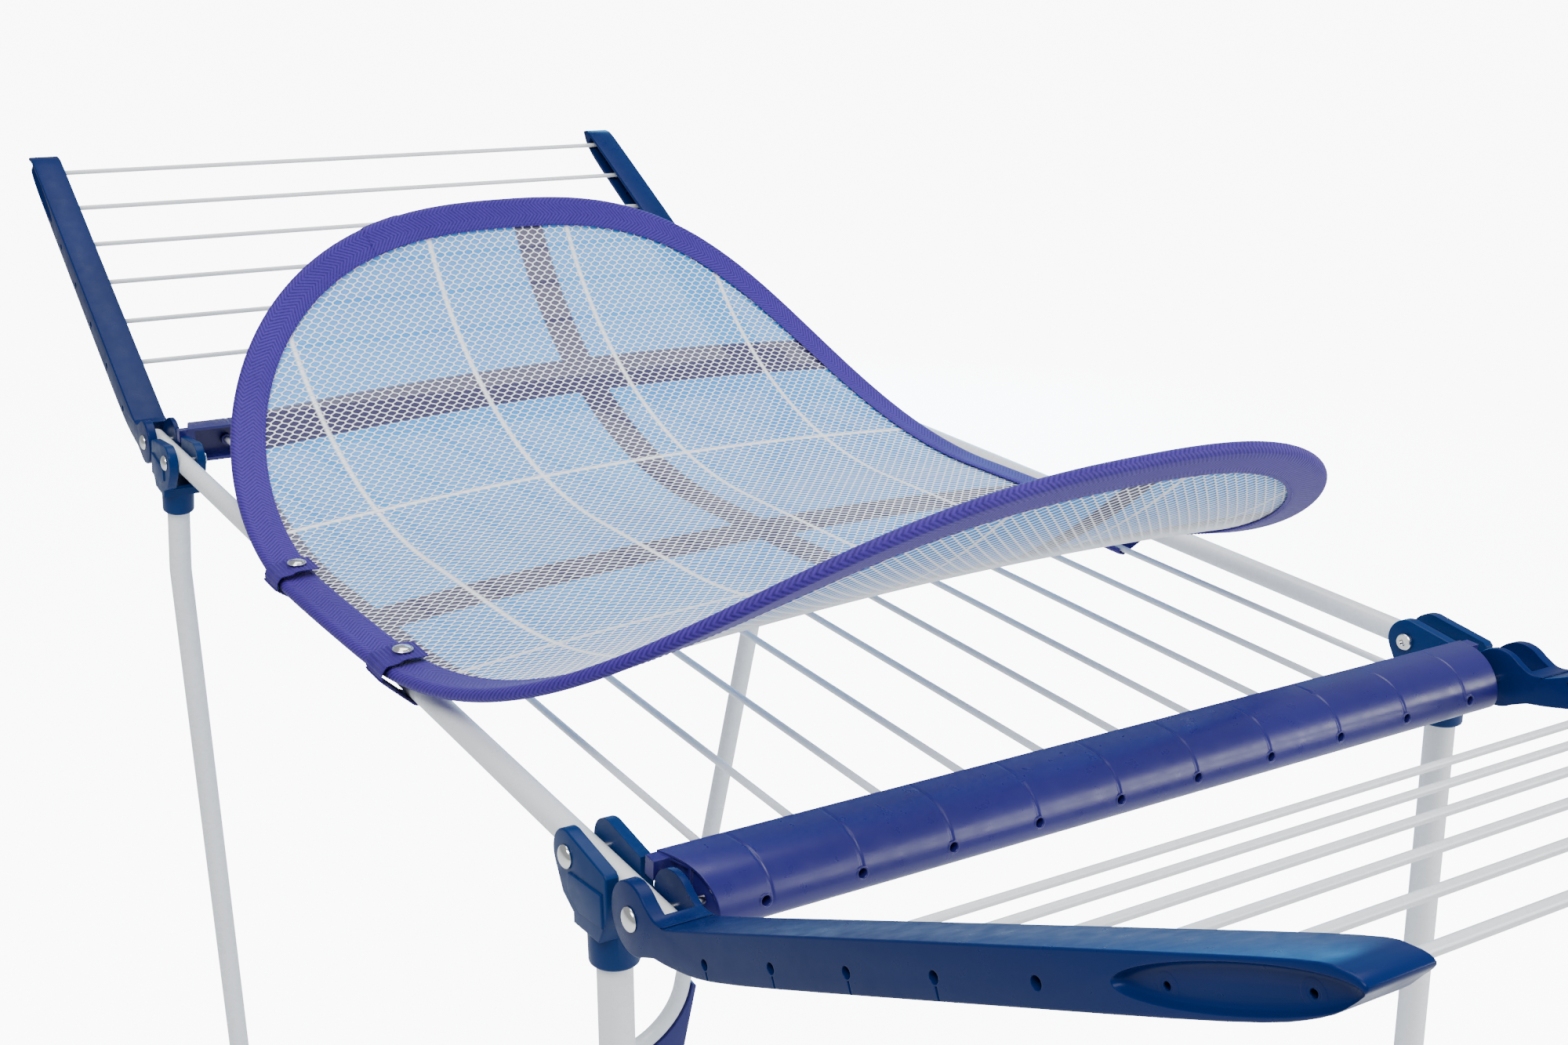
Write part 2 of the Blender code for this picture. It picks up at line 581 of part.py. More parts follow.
def foot_outline(narrowing):
    """Near foot in Y and Z: a cradle outside the bend with a square, toothed corner."""
    inside = LEG_RADIUS + GAP
    outside = LEG_RADIUS + GAP + FOOT_WALL
    sole = -leg_drop()
    head = sole + FOOT_RISE
    inner_corner = leg_corner(narrowing, inside)
    above = leg_line_point(narrowing, head, inside)
    along = Vector((inner_corner.x + FOOT_REACH, inner_corner.y))
    cradle = fillet(inner_corner, above, along, LEG_BEND_RADIUS + inside, 8)
    outline = [above] + cradle + [along]
    outer = leg_corner(narrowing, outside, sole)
    y = along.x
    while y - 2 * FOOT_TOOTH > outer.x + FOOT_LAND:
        outline += [Vector((y, sole)), Vector((y - FOOT_TOOTH, sole)),
                    Vector((y - FOOT_TOOTH, sole + FOOT_NOTCH)),
                    Vector((y - 1.5 * FOOT_TOOTH, sole + FOOT_NOTCH))]
        y -= 1.5 * FOOT_TOOTH
    outline += [Vector((y, sole)), Vector((outer.x + 0.003, sole)), Vector((outer.x, sole + 0.004))]
    outline += [leg_line_point(narrowing, head - 0.002, outside)]
    return outline


def make_foot(name, side, narrowing, pivot):
    """A corner foot whose sole lies flat on the floor."""
    sole = -leg_drop()
    rings = []
    for x in (LEG_OFFSET - FOOT_THICKNESS / 2, LEG_OFFSET + FOOT_THICKNESS / 2):
        ring = []
        for p in foot_outline(narrowing):
            z = -leg_drop(x) if p.y < sole + 1e-6 else p.y
            ring.append(Vector((x, -side * p.x, z)))
        rings.append(ring)
    add_piece(name, loft(bmesh.new(), rings), NAVY_PLASTIC, pivot)


def make_legs(prefix, rack, turn, narrowing):
    """One leg frame; its empty's X axis points outward and its legs hang down -Z."""
    place = (math.cos(turn) * LEG_PIVOT_X, 0, PIN_RISE)
    pivot = add_empty(prefix + "_leg_axis", rack, place, (0, -LEG_SPLAY, turn))
    facing = 1 if turn == 0 else -1
    make_leg_tube(prefix + "_leg_tube", narrowing, pivot)
    for label, side in (("near", -1), ("far", 1)):
        make_bracket("%s_leg_bracket_%s" % (prefix, label), side * facing, pivot)
        make_foot("%s_foot_%s" % (prefix, label), side * facing, narrowing, pivot)


# ---- drying net ------------------------------------------------------------------
def rim_point(angle):
    """The wire's place on the flat oval."""
    c, s = math.cos(angle), math.sin(angle)
    power = HOOP_SQUARENESS
    total = abs(c / HOOP_HALF_LENGTH) ** power + abs(s / HOOP_HALF_WIDTH) ** power
    radius = total ** (-1 / power)
    return Vector((radius * c, radius * s))


def rim_outward(angle):
    """Outward direction at the wire, on the flat oval."""
    step = 1e-3
    along = rim_point(angle + step) - rim_point(angle - step)
    return Vector((along.y, -along.x)).normalized()


def bent(point, lift=0.0):
    """Bend a point of the flat oval into the saddle, lift above the cloth's middle."""
    curl = HOOP_CURL_LEFT if point.x < 0 else HOOP_CURL_RIGHT
    turn = curl * max(abs(point.x) - HOOP_FLAT, 0)
    flat = min(abs(point.x), HOOP_FLAT)
    x = math.copysign(flat + math.sin(turn) / curl - lift * math.sin(turn), point.x)
    crown = HOOP_CROWN * (1 - (point.y / HOOP_HALF_WIDTH) ** 2)
    z = HOOP_EDGE_Z + crown + (1 - math.cos(turn)) / curl + lift * math.cos(turn)
    c, s = math.cos(HOOP_TURN), math.sin(HOOP_TURN)
    return Vector((HOOP_CENTRE_X + x * c - point.y * s, HOOP_CENTRE_Y + x * s + point.y * c, z))


def rim_section(section):
    """Rings of a closed section carried round the rim; section holds (outward, lift)."""
    rings = []
    for i in range(HOOP_SEGMENTS):
        angle = 2 * math.pi * i / HOOP_SEGMENTS
        rim, outward = rim_point(angle), rim_outward(angle)
        rings.append([bent(rim + outward * o, h) for o, h in section])
    return rings


def make_wire(rack):
    """The sprung hoop."""
    section = arc((0, 0), WIRE_RADIUS, 0, 300, 5)
    add_piece("hoop_wire", loft(bmesh.new(), rim_section(section), wrap=True), SPRING_STEEL, rack)


def make_binding(rack):
    """Folded tape around the hoop, open at its inner edge."""
    over = arc((0, 0), BINDING_OUTER, 90, -90, 4)
    under = arc((0, 0), BINDING_INNER, -90, 90, 4)
    edge = BINDING_LIP + BINDING_CLOTH
    section = [(-BINDING_WIDTH, edge)] + over + [(-BINDING_WIDTH, -edge),
                                                 (-BINDING_WIDTH, -BINDING_LIP)]
    section += under + [(-BINDING_WIDTH, BINDING_LIP)]
    add_piece("hoop_binding", loft(bmesh.new(), rim_section(section), wrap=True),
              PURPLE_WEBBING, rack)


def net_rows():
    """Inset from the wire and scale of each ring of the net, middle to edge."""
    rows = [(BINDING_WIDTH, step / NET_RINGS) for step in range(1, NET_RINGS + 1)]
    return rows + [(NET_TUCK, 1.0)]


def make_net(rack):
    """The cloth inside the binding, as one thin closed sheet."""
    net = bmesh.new()
    layers = []
    for lift in (NET_HALF_THICKNESS, -NET_HALF_THICKNESS):
        rows = []
        for inset, share in net_rows():
            row = []
            for i in range(HOOP_SEGMENTS):
                angle = 2 * math.pi * i / HOOP_SEGMENTS
                edge = rim_point(angle) - rim_outward(angle) * inset
                row.append(net.verts.new(bent(edge * share, lift)))
            rows.append(row)
        middle = net.verts.new(bent(Vector((0, 0)), lift))
        layers.append((middle, rows))
    for middle, rows in layers:
        for i in range(HOOP_SEGMENTS):
            j = (i + 1) % HOOP_SEGMENTS
            net.faces.new((middle, rows[0][i], rows[0][j]))
            for row, outer in zip(rows, rows[1:]):
                net.faces.new((row[i], outer[i], outer[j], row[j]))
    upper, lower = layers[0][1][-1], layers[1][1][-1]
    for i in range(HOOP_SEGMENTS):
        j = (i + 1) % HOOP_SEGMENTS
        net.faces.new((upper[i], lower[i], lower[j], upper[j]))
    add_piece("net_panel", net, NET_CLOTH, rack)


# ---- straps and snap caps --------------------------------------------------------
def rim_at(x, side):
    """Wire centre where it crosses a plane of constant x, on the near or far side."""
    low, high = (math.pi, 2 * math.pi) if side < 0 else (math.pi, 0)
    for _ in range(40):
        middle = (low + high) / 2
        if bent(rim_point(middle)).x < x:
            low = middle
        else:
            high = middle
    return bent(rim_point((low + high) / 2))


def thicken(path, thickness):
    """Closed outline of a strip that follows a 2D path."""
    left, right = [], []
    for i, point in enumerate(path):
        before = path[max(i - 1, 0)]
        after = path[min(i + 1, len(path) - 1)]
        along = (Vector(after) - Vector(before)).normalized()
        normal = Vector((-along.y, along.x)) * thickness / 2
        left.append(Vector(point) + normal)
        right.append(Vector(point) - normal)
    return left + right[::-1]


def rim_under_strap(x, side):
    """Middle of the wire under a strap's width, and how far it strays from there."""
    spots = [rim_at(x + share * STRAP_WIDTH / 2, side) for share in (-1, -0.5, 0, 0.5, 1)]
    outer = [spot.y * side for spot in spots]
    heights = [spot.z for spot in spots]
    middle = Vector(((max(outer) + min(outer)) / 2, (max(heights) + min(heights)) / 2))
    stray = math.hypot(max(outer) - min(outer), max(heights) - min(heights)) / 2
    return middle, stray


def strap_lift(stray):
    """Middle of a strap above the middle of the net, where it starts on the binding."""
    return BINDING_LIP + BINDING_CLOTH + STRAP_CLOTH / 2 + STRAP_ROOM + stray + STRAP_RISE


def strap_path(wire, stray, anchor, anchor_radius):
    """Middle line of a strap: over the binding, then under the rod or rail."""
    room = STRAP_ROOM + STRAP_CLOTH / 2
    over = BINDING_OUTER + room + stray
    hold = anchor_radius + room
    lip = wire.x - BINDING_WIDTH - 0.001
    path = [(lip, wire.y + strap_lift(stray)), (lip + 0.012, wire.y + strap_lift(stray) + STRAP_SLOPE),
            (wire.x - 0.003, wire.y + over)]
    path += arc(wire, over, 65, -35, 3)
    start = -50 if anchor + hold < wire.x else -20
    path += arc((anchor, 0), hold, start, -150, 4)
    return path + [(anchor - hold, 0.0), (anchor - hold, anchor_radius * 0.5)]


def make_strap(name, x, side, anchor, anchor_radius, rack):
    """A short strap of webbing round the binding and the tube or rod under it."""
    wire, stray = rim_under_strap(x, side)
    outline = thicken(strap_path(wire, stray, anchor, anchor_radius), STRAP_CLOTH)
    rings = [[Vector((x + dx, side * p.x, p.y)) for p in outline]
             for dx in (-STRAP_WIDTH / 2, STRAP_WIDTH / 2)]
    add_piece(name, loft(bmesh.new(), rings), PURPLE_WEBBING, rack)


def make_snap(name, x, side, rack):
    """A domed press-stud cap on top of a strap."""
    wire, stray = rim_under_strap(x, side)
    seat_z = wire.y + strap_lift(stray) + STRAP_SLOPE + STRAP_CLOTH / 2 + GAP
    seat = Vector((x, side * (wire.x - BINDING_WIDTH + 0.009), seat_z))
    profile = [(0, SNAP_RADIUS), (SNAP_HEIGHT * 0.35, SNAP_RADIUS),
               (SNAP_HEIGHT * 0.8, SNAP_RADIUS * 0.75), (SNAP_HEIGHT, SNAP_RADIUS * 0.35)]
    rings = [circle_ring(seat + Vector((0, 0, z)), Vector((0, 0, 1)), Vector((1, 0, 0)), r, PIN_SIDES)
             for z, r in profile]
    add_piece(name, loft(bmesh.new(), rings), NICKEL, rack)


def make_net_assembly(rack):
    """The sprung net panel and what holds it to the rack."""
    make_wire(rack)
    make_binding(rack)
    make_net(rack)
    last_rod = rod_y(ROD_COUNT - 1)
    for label, sign in (("left", -1), ("right", 1)):
        x = STRAP_MIDDLE_X + sign * STRAP_SPREAD
        make_strap("strap_near_" + label, x, -1, RAIL_Y, RAIL_RADIUS, rack)
        make_snap("snap_cap_near_" + label, x, -1, rack)
        x = STRAP_MIDDLE_X + STRAP_FAR_SHIFT + sign * STRAP_FAR_SPREAD
        make_strap("strap_far_" + label, x, 1, last_rod, ROD_RADIUS, rack)
        make_snap("snap_cap_far_" + label, x, 1, rack)


# ---- assembly --------------------------------------------------------------------
def box_shift_y():
    """Side shift that puts the middle of the overall box at y = 0."""
    far = CHEEK_FACE + GAP + PIN_HEAD_HEIGHT
    near = far
    for sign in (-1, 1):
        wire, stray = rim_under_strap(STRAP_MIDDLE_X + sign * STRAP_SPREAD, -1)
        near = max(near, wire.x + stray + BINDING_OUTER + STRAP_ROOM + STRAP_CLOTH)
    return (near - far) / 2


def build():
    """Make the whole airer."""
    rack = add_empty("rack_frame", None, (0, box_shift_y(), RACK_HEIGHT))
    for label, side in (("near", -1), ("far", 1)):
        make_rail("rail_" + label, side, rack)
    for index in range(ROD_COUNT):
        make_centre_rod(index, rack)
    for prefix, turn, narrowing in (("left", math.pi, LEG_NARROWING), ("right", 0, 0)):
        end = add_empty(prefix + "_end", rack, (0, 0, 0), (0, 0, turn))
        make_crossbeam(prefix + "_crossbeam", end)
        wing_pins = add_empty(prefix + "_wing_pins", end, (WING_HINGE_X, 0, PIN_RISE))
        leg_pins = add_empty(prefix + "_leg_pins", end, (LEG_PIVOT_X, 0, PIN_RISE))
        facing = 1 if turn == 0 else -1
        for label, side in (("near", -1), ("far", 1)):
            make_wing_pin("%s_wing_pin_%s" % (prefix, label), side * facing, wing_pins)
            make_leg_pin("%s_leg_pin_%s" % (prefix, label), side * facing, leg_pins)
        make_wing(prefix, rack, turn)
        make_legs(prefix, rack, turn, narrowing)
    make_net_assembly(rack)


build()
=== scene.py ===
"""Looks for the winged clothes airer: fine meshes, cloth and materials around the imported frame."""
import json
import math
from math import cos, pi, sin

import bmesh
import bpy
from mathutils import Matrix, Vector


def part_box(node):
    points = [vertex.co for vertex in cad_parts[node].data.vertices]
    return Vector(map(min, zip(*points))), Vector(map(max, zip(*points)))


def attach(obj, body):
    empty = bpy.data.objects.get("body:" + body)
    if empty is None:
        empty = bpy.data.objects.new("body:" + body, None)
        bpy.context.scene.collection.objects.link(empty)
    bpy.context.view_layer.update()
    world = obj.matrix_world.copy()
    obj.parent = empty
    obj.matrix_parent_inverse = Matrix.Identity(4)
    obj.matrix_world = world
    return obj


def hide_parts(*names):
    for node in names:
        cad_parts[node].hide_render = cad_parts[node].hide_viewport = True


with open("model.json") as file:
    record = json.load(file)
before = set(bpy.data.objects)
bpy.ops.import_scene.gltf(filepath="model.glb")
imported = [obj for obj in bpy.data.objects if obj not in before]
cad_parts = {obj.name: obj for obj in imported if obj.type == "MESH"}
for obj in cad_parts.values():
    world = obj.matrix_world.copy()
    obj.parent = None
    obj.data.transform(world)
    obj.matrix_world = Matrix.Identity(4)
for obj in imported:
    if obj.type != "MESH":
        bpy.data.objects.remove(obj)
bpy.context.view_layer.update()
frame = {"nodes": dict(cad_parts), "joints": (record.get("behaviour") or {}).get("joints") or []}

# ---- places that come from the frame
NEAR_RAIL_LOW, NEAR_RAIL_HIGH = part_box("rail_near")
FAR_RAIL_LOW, FAR_RAIL_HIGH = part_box("rail_far")
RACK_Y = (NEAR_RAIL_LOW.y + FAR_RAIL_HIGH.y) / 2
RACK_Z = (NEAR_RAIL_LOW.z + NEAR_RAIL_HIGH.z) / 2
RAIL_Y = (FAR_RAIL_LOW.y + FAR_RAIL_HIGH.y) / 2 - RACK_Y
RAIL_END_X = FAR_RAIL_HIGH.x
JOINTS = {joint["name"]: joint for joint in frame["joints"]}
WING_HINGE_X = JOINTS["right_wing_hinge"]["pos_m"][0]
LEG_PIVOT_X = JOINTS["right_leg_fold"]["pos_m"][0]
PIN_Z = JOINTS["right_wing_hinge"]["pos_m"][2]
RACK = Vector((0, RACK_Y, RACK_Z))

# ---- sizes shared with the CAD part
GAP = 0.0003
ROD_COUNT = 10
ROD_PITCH = 0.05
ROD_RADIUS = 0.002
RAIL_RADIUS = 0.0068
TUBE_WALL = 0.001
CHEEK_FACE = RAIL_Y + RAIL_RADIUS + GAP + 0.0065
RAIL_INSIDE = RAIL_Y - RAIL_RADIUS - GAP
RAIL_OUTSIDE = RAIL_Y + RAIL_RADIUS + GAP
ARM_INSIDE = RAIL_INSIDE - 0.0038
BRACKET_INSIDE = RAIL_INSIDE - 0.0062
BEAM_INNER_X = 0.345
BEAM_WIDTH = 0.035
BEAM_TOP = 0.0158
BEAM_BOTTOM = -0.013
BEAM_SHELL = 0.0026
BEAM_CHANNEL = 0.017
BEAM_END_TAPER = 0.011
BEAM_END_Y = ARM_INSIDE - 0.002
WING_REST_ANGLE = math.radians(28.9)
WING_ROD_COUNT = 6
WING_ROD_PITCH = 0.0491
WING_FIRST_ROD = 0.1048
WING_ROD_DROP = 0.0174
ARM_REACH = 0.3695
ARM_CHEEK_RADIUS = 0.0162
ARM_TOP = -0.0045
ARM_BOTTOM = -0.0252
ARM_SHELL = 0.0026
ARM_WEB = 0.004
GRIP_LENGTH = 0.085
GRIP_DEPTH = 0.0034
LEG_SPLAY = math.radians(5.83)
LEG_OFFSET = 0.017
LEG_RADIUS = 0.0082
LEG_BEND_RADIUS = 0.075
LEG_NARROWING = 0.08
LEG_STRAIGHT_TOP = 0.095
FOOT_SOLE = 0.008
SOCKET_TOP = -0.0215
SOCKET_BOTTOM = -0.046
SOCKET_SEAT = 0.0045
SOCKET_RADIUS = 0.0119
BRACKET_CHEEK_RADIUS = 0.0125
BRACKET_REACH = 0.036
PIN_RADIUS = 0.0022
PIN_HEAD_RADIUS = 0.0056
PIN_HEAD_HEIGHT = 0.0026

HOOP_HALF_LENGTH = 0.3615
HOOP_HALF_WIDTH = 0.2685
HOOP_SQUARENESS = 2.76
HOOP_CENTRE = (0.028, -0.024)
HOOP_TURN = 0.047
HOOP_EDGE_Z = RAIL_RADIUS + 0.0037
HOOP_FLAT = 0.05
HOOP_CURL_LEFT = 3.6
HOOP_CURL_RIGHT = 2.92
HOOP_CROWN = 0.012
BINDING_OUTER = 0.0035
BINDING_WIDTH = 0.019
BINDING_EDGE = 0.0024
STRAP_MIDDLE_X = 0.04
STRAP_WIDTH = 0.022
STRAP_CLOTH = 0.0013
STRAP_SPREAD = 0.0725
STRAP_FAR_SHIFT = 0.047
STRAP_FAR_SPREAD = 0.024
STRAP_ROOM = 0.001

# ---- sizes of the fine detail
CELL_ACROSS = 0.0075  # net cell pitch across the rods
CELL_ROW = 0.0036  # net row pitch along the rods
CELL_SIDE = 0.0009  # half length of a cell's short sides
CELL_OPEN = 0.83  # share of a cell that is open
STRAND_RISE = 0.0003
CLOTH_DROP = 0.0003  # cloth below the net
RIB_PITCH = 0.0024
RIB_HEIGHT = 0.0005
STITCH_LENGTH = 0.0023
STITCH_PITCH = 0.0034
STITCH_INSET = 0.0022  # stitch line to the binding's inner edge
HOLE_RADIUS = 0.0023
GROOVE_DEPTH = 0.0004
GROOVE_HALF = 0.0011
TUBE_SIDES = 32
PLUG_RADIUS = 0.0057
BAR_ROUNDING = 0.0004
INNER_RIB_HALF = 0.0008  # half thickness of the ribs inside beams and arms
STITCH_RADIUS = 0.00032
NET_MARGIN = BINDING_WIDTH - 0.0025  # wire to the net's edge, on the flat oval
CLOTH_MARGIN = 0.0145  # wire to the cloth's edge, on the flat oval
CHECK_LINE_HALF = 0.0016  # half width of the check's white lines
THREAD_PITCH = 0.0011
UP = Vector((0, 0, 1))
ENDS = (("left", -1), ("right", 1))
SIDES = (("near", -1), ("far", 1))


# ---- node helpers
def node(tree, kind, inputs=None, **settings):
    """Add a shader node; an input is a value or a socket to link."""
    made = tree.nodes.new("ShaderNode" + kind)
    for key, value in settings.items():
        setattr(made, key, value)
    for key, value in (inputs or {}).items():
        if isinstance(value, bpy.types.NodeSocket):
            tree.links.new(value, made.inputs[key])
        else:
            made.inputs[key].default_value = value
    return made


def maths(tree, operation, a, b=0.0):
    """One arithmetic step."""
    return node(tree, "Math", {0: a, 1: b}, operation=operation).outputs[0]


def blended(tree, factor, a, b):
    """Mix two colours, each a socket or three numbers."""
    a, b = (colour + (1.0,) if isinstance(colour, tuple) else colour for colour in (a, b))
    return node(tree, "Mix", {0: factor, 6: a, 7: b}, data_type="RGBA").outputs[2]


def remapped(tree, value, low, high, start=0.3, stop=0.7):
    """Spread a value over a range."""
    inputs = {"Value": value, "From Min": start, "From Max": stop, "To Min": low, "To Max": high}
    return node(tree, "MapRange", inputs).outputs["Result"]


def object_place(tree):
    """The object's own coordinates."""
    return node(tree, "TexCoord").outputs["Object"]


def flat_place(tree):
    """The two UV coordinates, in metres."""
    split = node(tree, "SeparateXYZ", {"Vector": node(tree, "UVMap", uv_map="metres").outputs["UV"]})
    return split.outputs["X"], split.outputs["Y"]


def noise_of(tree, scale, detail=3.0, place=None):
    """Noise in 0 to 1, over the object's own coordinates unless a place is given."""
    place = object_place(tree) if place is None else place
    return node(tree, "TexNoise", {"Vector": place, "Scale": scale, "Detail": detail}).outputs[0]


def ripple(tree, value, pitch):
    """A sine wave along a coordinate, in -1 to 1."""
    return maths(tree, "SINE", maths(tree, "MULTIPLY", value, 2 * pi / pitch))


def start_material(name, roughness, metallic=0.0, coat=0.0, sheen=0.0, gloss=0.5):
    """A Principled material, its tree and its surface."""
    made = bpy.data.materials.new(name)
    made.use_nodes = True
    surface = made.node_tree.nodes["Principled BSDF"]
    for key, value in (("Roughness", roughness), ("Metallic", metallic), ("Specular IOR Level", gloss),
            ("Coat Weight", coat), ("Coat Roughness", 0.15), ("Sheen Weight", sheen),
            ("Sheen Roughness", 0.4)):
        surface.inputs[key].default_value = value
    return made, made.node_tree, surface


def dress(tree, surface, body, strength, distance, height, **more):
    """Give a surface its colour and its bump."""
    tree.links.new(body, surface.inputs["Base Color"])
    bump = node(tree, "Bump", {"Strength": strength, "Distance": distance, "Height": height, **more})
    tree.links.new(bump.outputs["Normal"], surface.inputs["Normal"])


def shade(colour, factor):
    """A lighter or darker colour."""
    return tuple(min(1.0, channel * factor) for channel in colour)


def hard_material(name, colour, rough, metallic=0.0, grain=1200.0, height=0.00004, coat=0.0,
        rounding=0.0005, variety=0.1, gloss=0.5):
    """Moulded, coated or plated surface with grain, clouding and light handling marks."""
    made, tree, surface = start_material(name, sum(rough) / 2, metallic, coat, gloss=gloss)
    cloud = remapped(tree, noise_of(tree, 9.0), 0.0, 1.0)
    body = blended(tree, cloud, shade(colour, 1 - variety), shade(colour, 1 + variety))
    stretched = node(tree, "Mapping", {"Vector": object_place(tree), "Scale": (40, 40, 260)}).outputs[0]
    marks = remapped(tree, noise_of(tree, 1.0, 5.0, stretched), 0.0, 0.12, 0.6, 0.8)
    body = blended(tree, marks, body, shade(colour, 1.6))
    tree.links.new(remapped(tree, noise_of(tree, 120.0, 4.0), *rough), surface.inputs["Roughness"])
    edge = node(tree, "Bevel", {"Radius": rounding}, samples=8).outputs["Normal"]
    dress(tree, surface, body, 0.3, height, noise_of(tree, grain, 1.0), Normal=edge)
    return made


def tape_material(name, dark, light, chevron, pitch):
    """Woven tape: fine diagonal ribs that turn back every chevron width."""
    made, tree, surface = start_material(name, 0.62, sheen=0.08, gloss=0.2)
    along, across = flat_place(tree)
    slant = maths(tree, "ADD", along, maths(tree, "PINGPONG", across, chevron))
    rib = remapped(tree, ripple(tree, slant, pitch), 0.0, 1.0, -1.0, 1.0)
    yarn, cloud = noise_of(tree, 900.0, 2.0), noise_of(tree, 12.0)
    body = blended(tree, maths(tree, "MULTIPLY", rib, 0.75), dark, light)
    body = blended(tree, remapped(tree, cloud, 0.0, 0.35), body, shade(dark, 0.8))
    body = blended(tree, remapped(tree, yarn, 0.0, 0.3), body, shade(light, 1.2))
    dress(tree, surface, body, 0.6, 0.00025, maths(tree, "ADD", rib, maths(tree, "MULTIPLY", yarn, 0.4)))
    return made


def stripe(tree, coordinate, centre, half):
    """1 inside a stripe and 0 outside it, with soft edges."""
    away = maths(tree, "ABSOLUTE", maths(tree, "SUBTRACT", coordinate, centre))
    return remapped(tree, away, 1.0, 0.0, half - 0.0008, half + 0.0008)


def plaid_material():
    """Thin light blue cloth with a woven check."""
    made, tree, surface = start_material("check_cloth", 0.7, sheen=0.05, gloss=0.2)
    surface.inputs["Alpha"].default_value = 0.985
    along, across = flat_place(tree)
    body = blended(tree, remapped(tree, noise_of(tree, 10.0), 0.0, 1.0), CLOTH_BLUE, CLOTH_PALE)
    for way, half, colour, centres in (
            (along, 0.0155, CLOTH_VIOLET, (-0.216, 0.012, 0.24)),
            (across, 0.012, CLOTH_VIOLET, (-0.25, 0.02)),
            (across, CHECK_LINE_HALF, CLOTH_WHITE, (-0.183, -0.062, 0.052, 0.172)),
            (along, CHECK_LINE_HALF, CLOTH_WHITE, (-0.122, 0.106))):
        for centre in centres:
            body = blended(tree, stripe(tree, way, centre, half), body, colour)
    weave = maths(tree, "MULTIPLY", ripple(tree, across, THREAD_PITCH), ripple(tree, along, THREAD_PITCH))
    body = blended(tree, remapped(tree, weave, 0.0, 0.08, -1.0, 1.0), body, CLOTH_WHITE)
    dress(tree, surface, body, 0.4, 0.0002, weave)
    return made


def yarn_material():
    """White knitted polyester yarn."""
    made, tree, surface = start_material("white_yarn", 0.55, sheen=0.1, gloss=0.3)
    fibre = noise_of(tree, 2600.0, 2.0)
    cloud = remapped(tree, noise_of(tree, 40.0), 0.0, 1.0)
    body = blended(tree, cloud, (0.86, 0.89, 0.94), (0.97, 0.97, 0.98))
    body = blended(tree, remapped(tree, fibre, 0.0, 0.3), body, (0.66, 0.76, 0.9))
    dress(tree, surface, body, 0.5, 0.0002, fibre)
    return made


CLOTH_BLUE = (0.003, 0.235, 0.7)
CLOTH_PALE = (0.009, 0.315, 0.8)
CLOTH_VIOLET = (0.012, 0.006, 0.07)
CLOTH_WHITE = (0.88, 0.9, 0.94)
WHITE_COAT = hard_material("white_coat_fine", (0.76, 0.79, 0.82), (0.22, 0.34), grain=800.0,
        height=0.00003, coat=0.2, variety=0.02)
NAVY = hard_material("navy_plastic_fine", (0.013, 0.011, 0.125), (0.26, 0.38), height=0.00001, gloss=0.4)
ARM_BLUE = hard_material("arm_plastic_fine", (0.001, 0.012, 0.085), (0.26, 0.38), height=0.00001, gloss=0.1)
BLUE = hard_material("blue_plastic_fine", (0.001, 0.021, 0.105), (0.28, 0.4), height=0.00001, gloss=0.12)
BLACK = hard_material("black_plastic_fine", (0.012, 0.012, 0.014), (0.4, 0.55))
NICKEL = hard_material("nickel_fine", (0.74, 0.74, 0.73), (0.1, 0.26), metallic=1.0, height=0.00001,
        rounding=0.0002, variety=0.05)
STEEL = hard_material("spring_steel_fine", (0.42, 0.43, 0.45), (0.3, 0.45), metallic=1.0)
THREAD = hard_material("purple_thread", (0.035, 0.02, 0.24), (0.45, 0.6), rounding=0.0001)
TAPE = tape_material("purple_tape", (0.012, 0.003, 0.108), (0.072, 0.033, 0.33), 0.0085, 0.003)
WEBBING = tape_material("purple_webbing_fine", (0.016, 0.006, 0.12), (0.05, 0.024, 0.26), 0.011, 0.0012)
PLAID = plaid_material()
YARN = yarn_material()


# ---- mesh helpers
def linked(name, data):
    """A new object in the scene."""
    made = bpy.data.objects.new(name, data)
    bpy.context.scene.collection.objects.link(made)
    return made


def as_object(name, mesh_data):
    """Turn a bmesh into an object."""
    mesh = bpy.data.meshes.new(name)
    mesh_data.to_mesh(mesh)
    mesh_data.free()
    return linked(name, mesh)


def finished(name, mesh_data, material, body, slot, *nodes, angle=35.0):
    """Turn a bmesh into a piece that rides on a body."""
    piece = as_object(name, mesh_data)
    piece.data.materials.append(material)
    piece.data.shade_smooth()
    piece.data.set_sharp_from_angle(angle=math.radians(angle))
    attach(piece, body)
    if nodes:
        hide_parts(*nodes)
    return piece


def stand_in(node_name, mesh_data, material, body, slot, angle=35.0):
    """A piece that takes the place of one CAD node."""
    return finished(node_name + "_fine", mesh_data, material, body, slot, node_name, angle=angle)


def turns(count):
    """Even angles round a circle."""
    return [2 * pi * i / count for i in range(count)]


def direction(path, i):
    """Direction of a path at one of its points."""
    return (path[min(i + 1, len(path) - 1)] - path[max(i - 1, 0)]).normalized()


def loft(mesh_data, rings, wrap=False):
    """Skin closed rings, with caps unless the last ring meets the first."""
    rows = [[mesh_data.verts.new(point) for point in ring] for ring in rings]
    pairs = list(zip(rows, rows[1:])) + ([(rows[-1], rows[0])] if wrap else [])
    count = len(rings[0])
    faces = []
    for row, following in pairs:
        for i in range(count):
            j = (i + 1) % count
            faces.append(mesh_data.faces.new((row[i], row[j], following[j], following[i])))
    if not wrap:
        faces.append(mesh_data.faces.new(rows[0]))
        faces.append(mesh_data.faces.new(rows[-1]))
    bmesh.ops.recalc_face_normals(mesh_data, faces=faces)
    return mesh_data


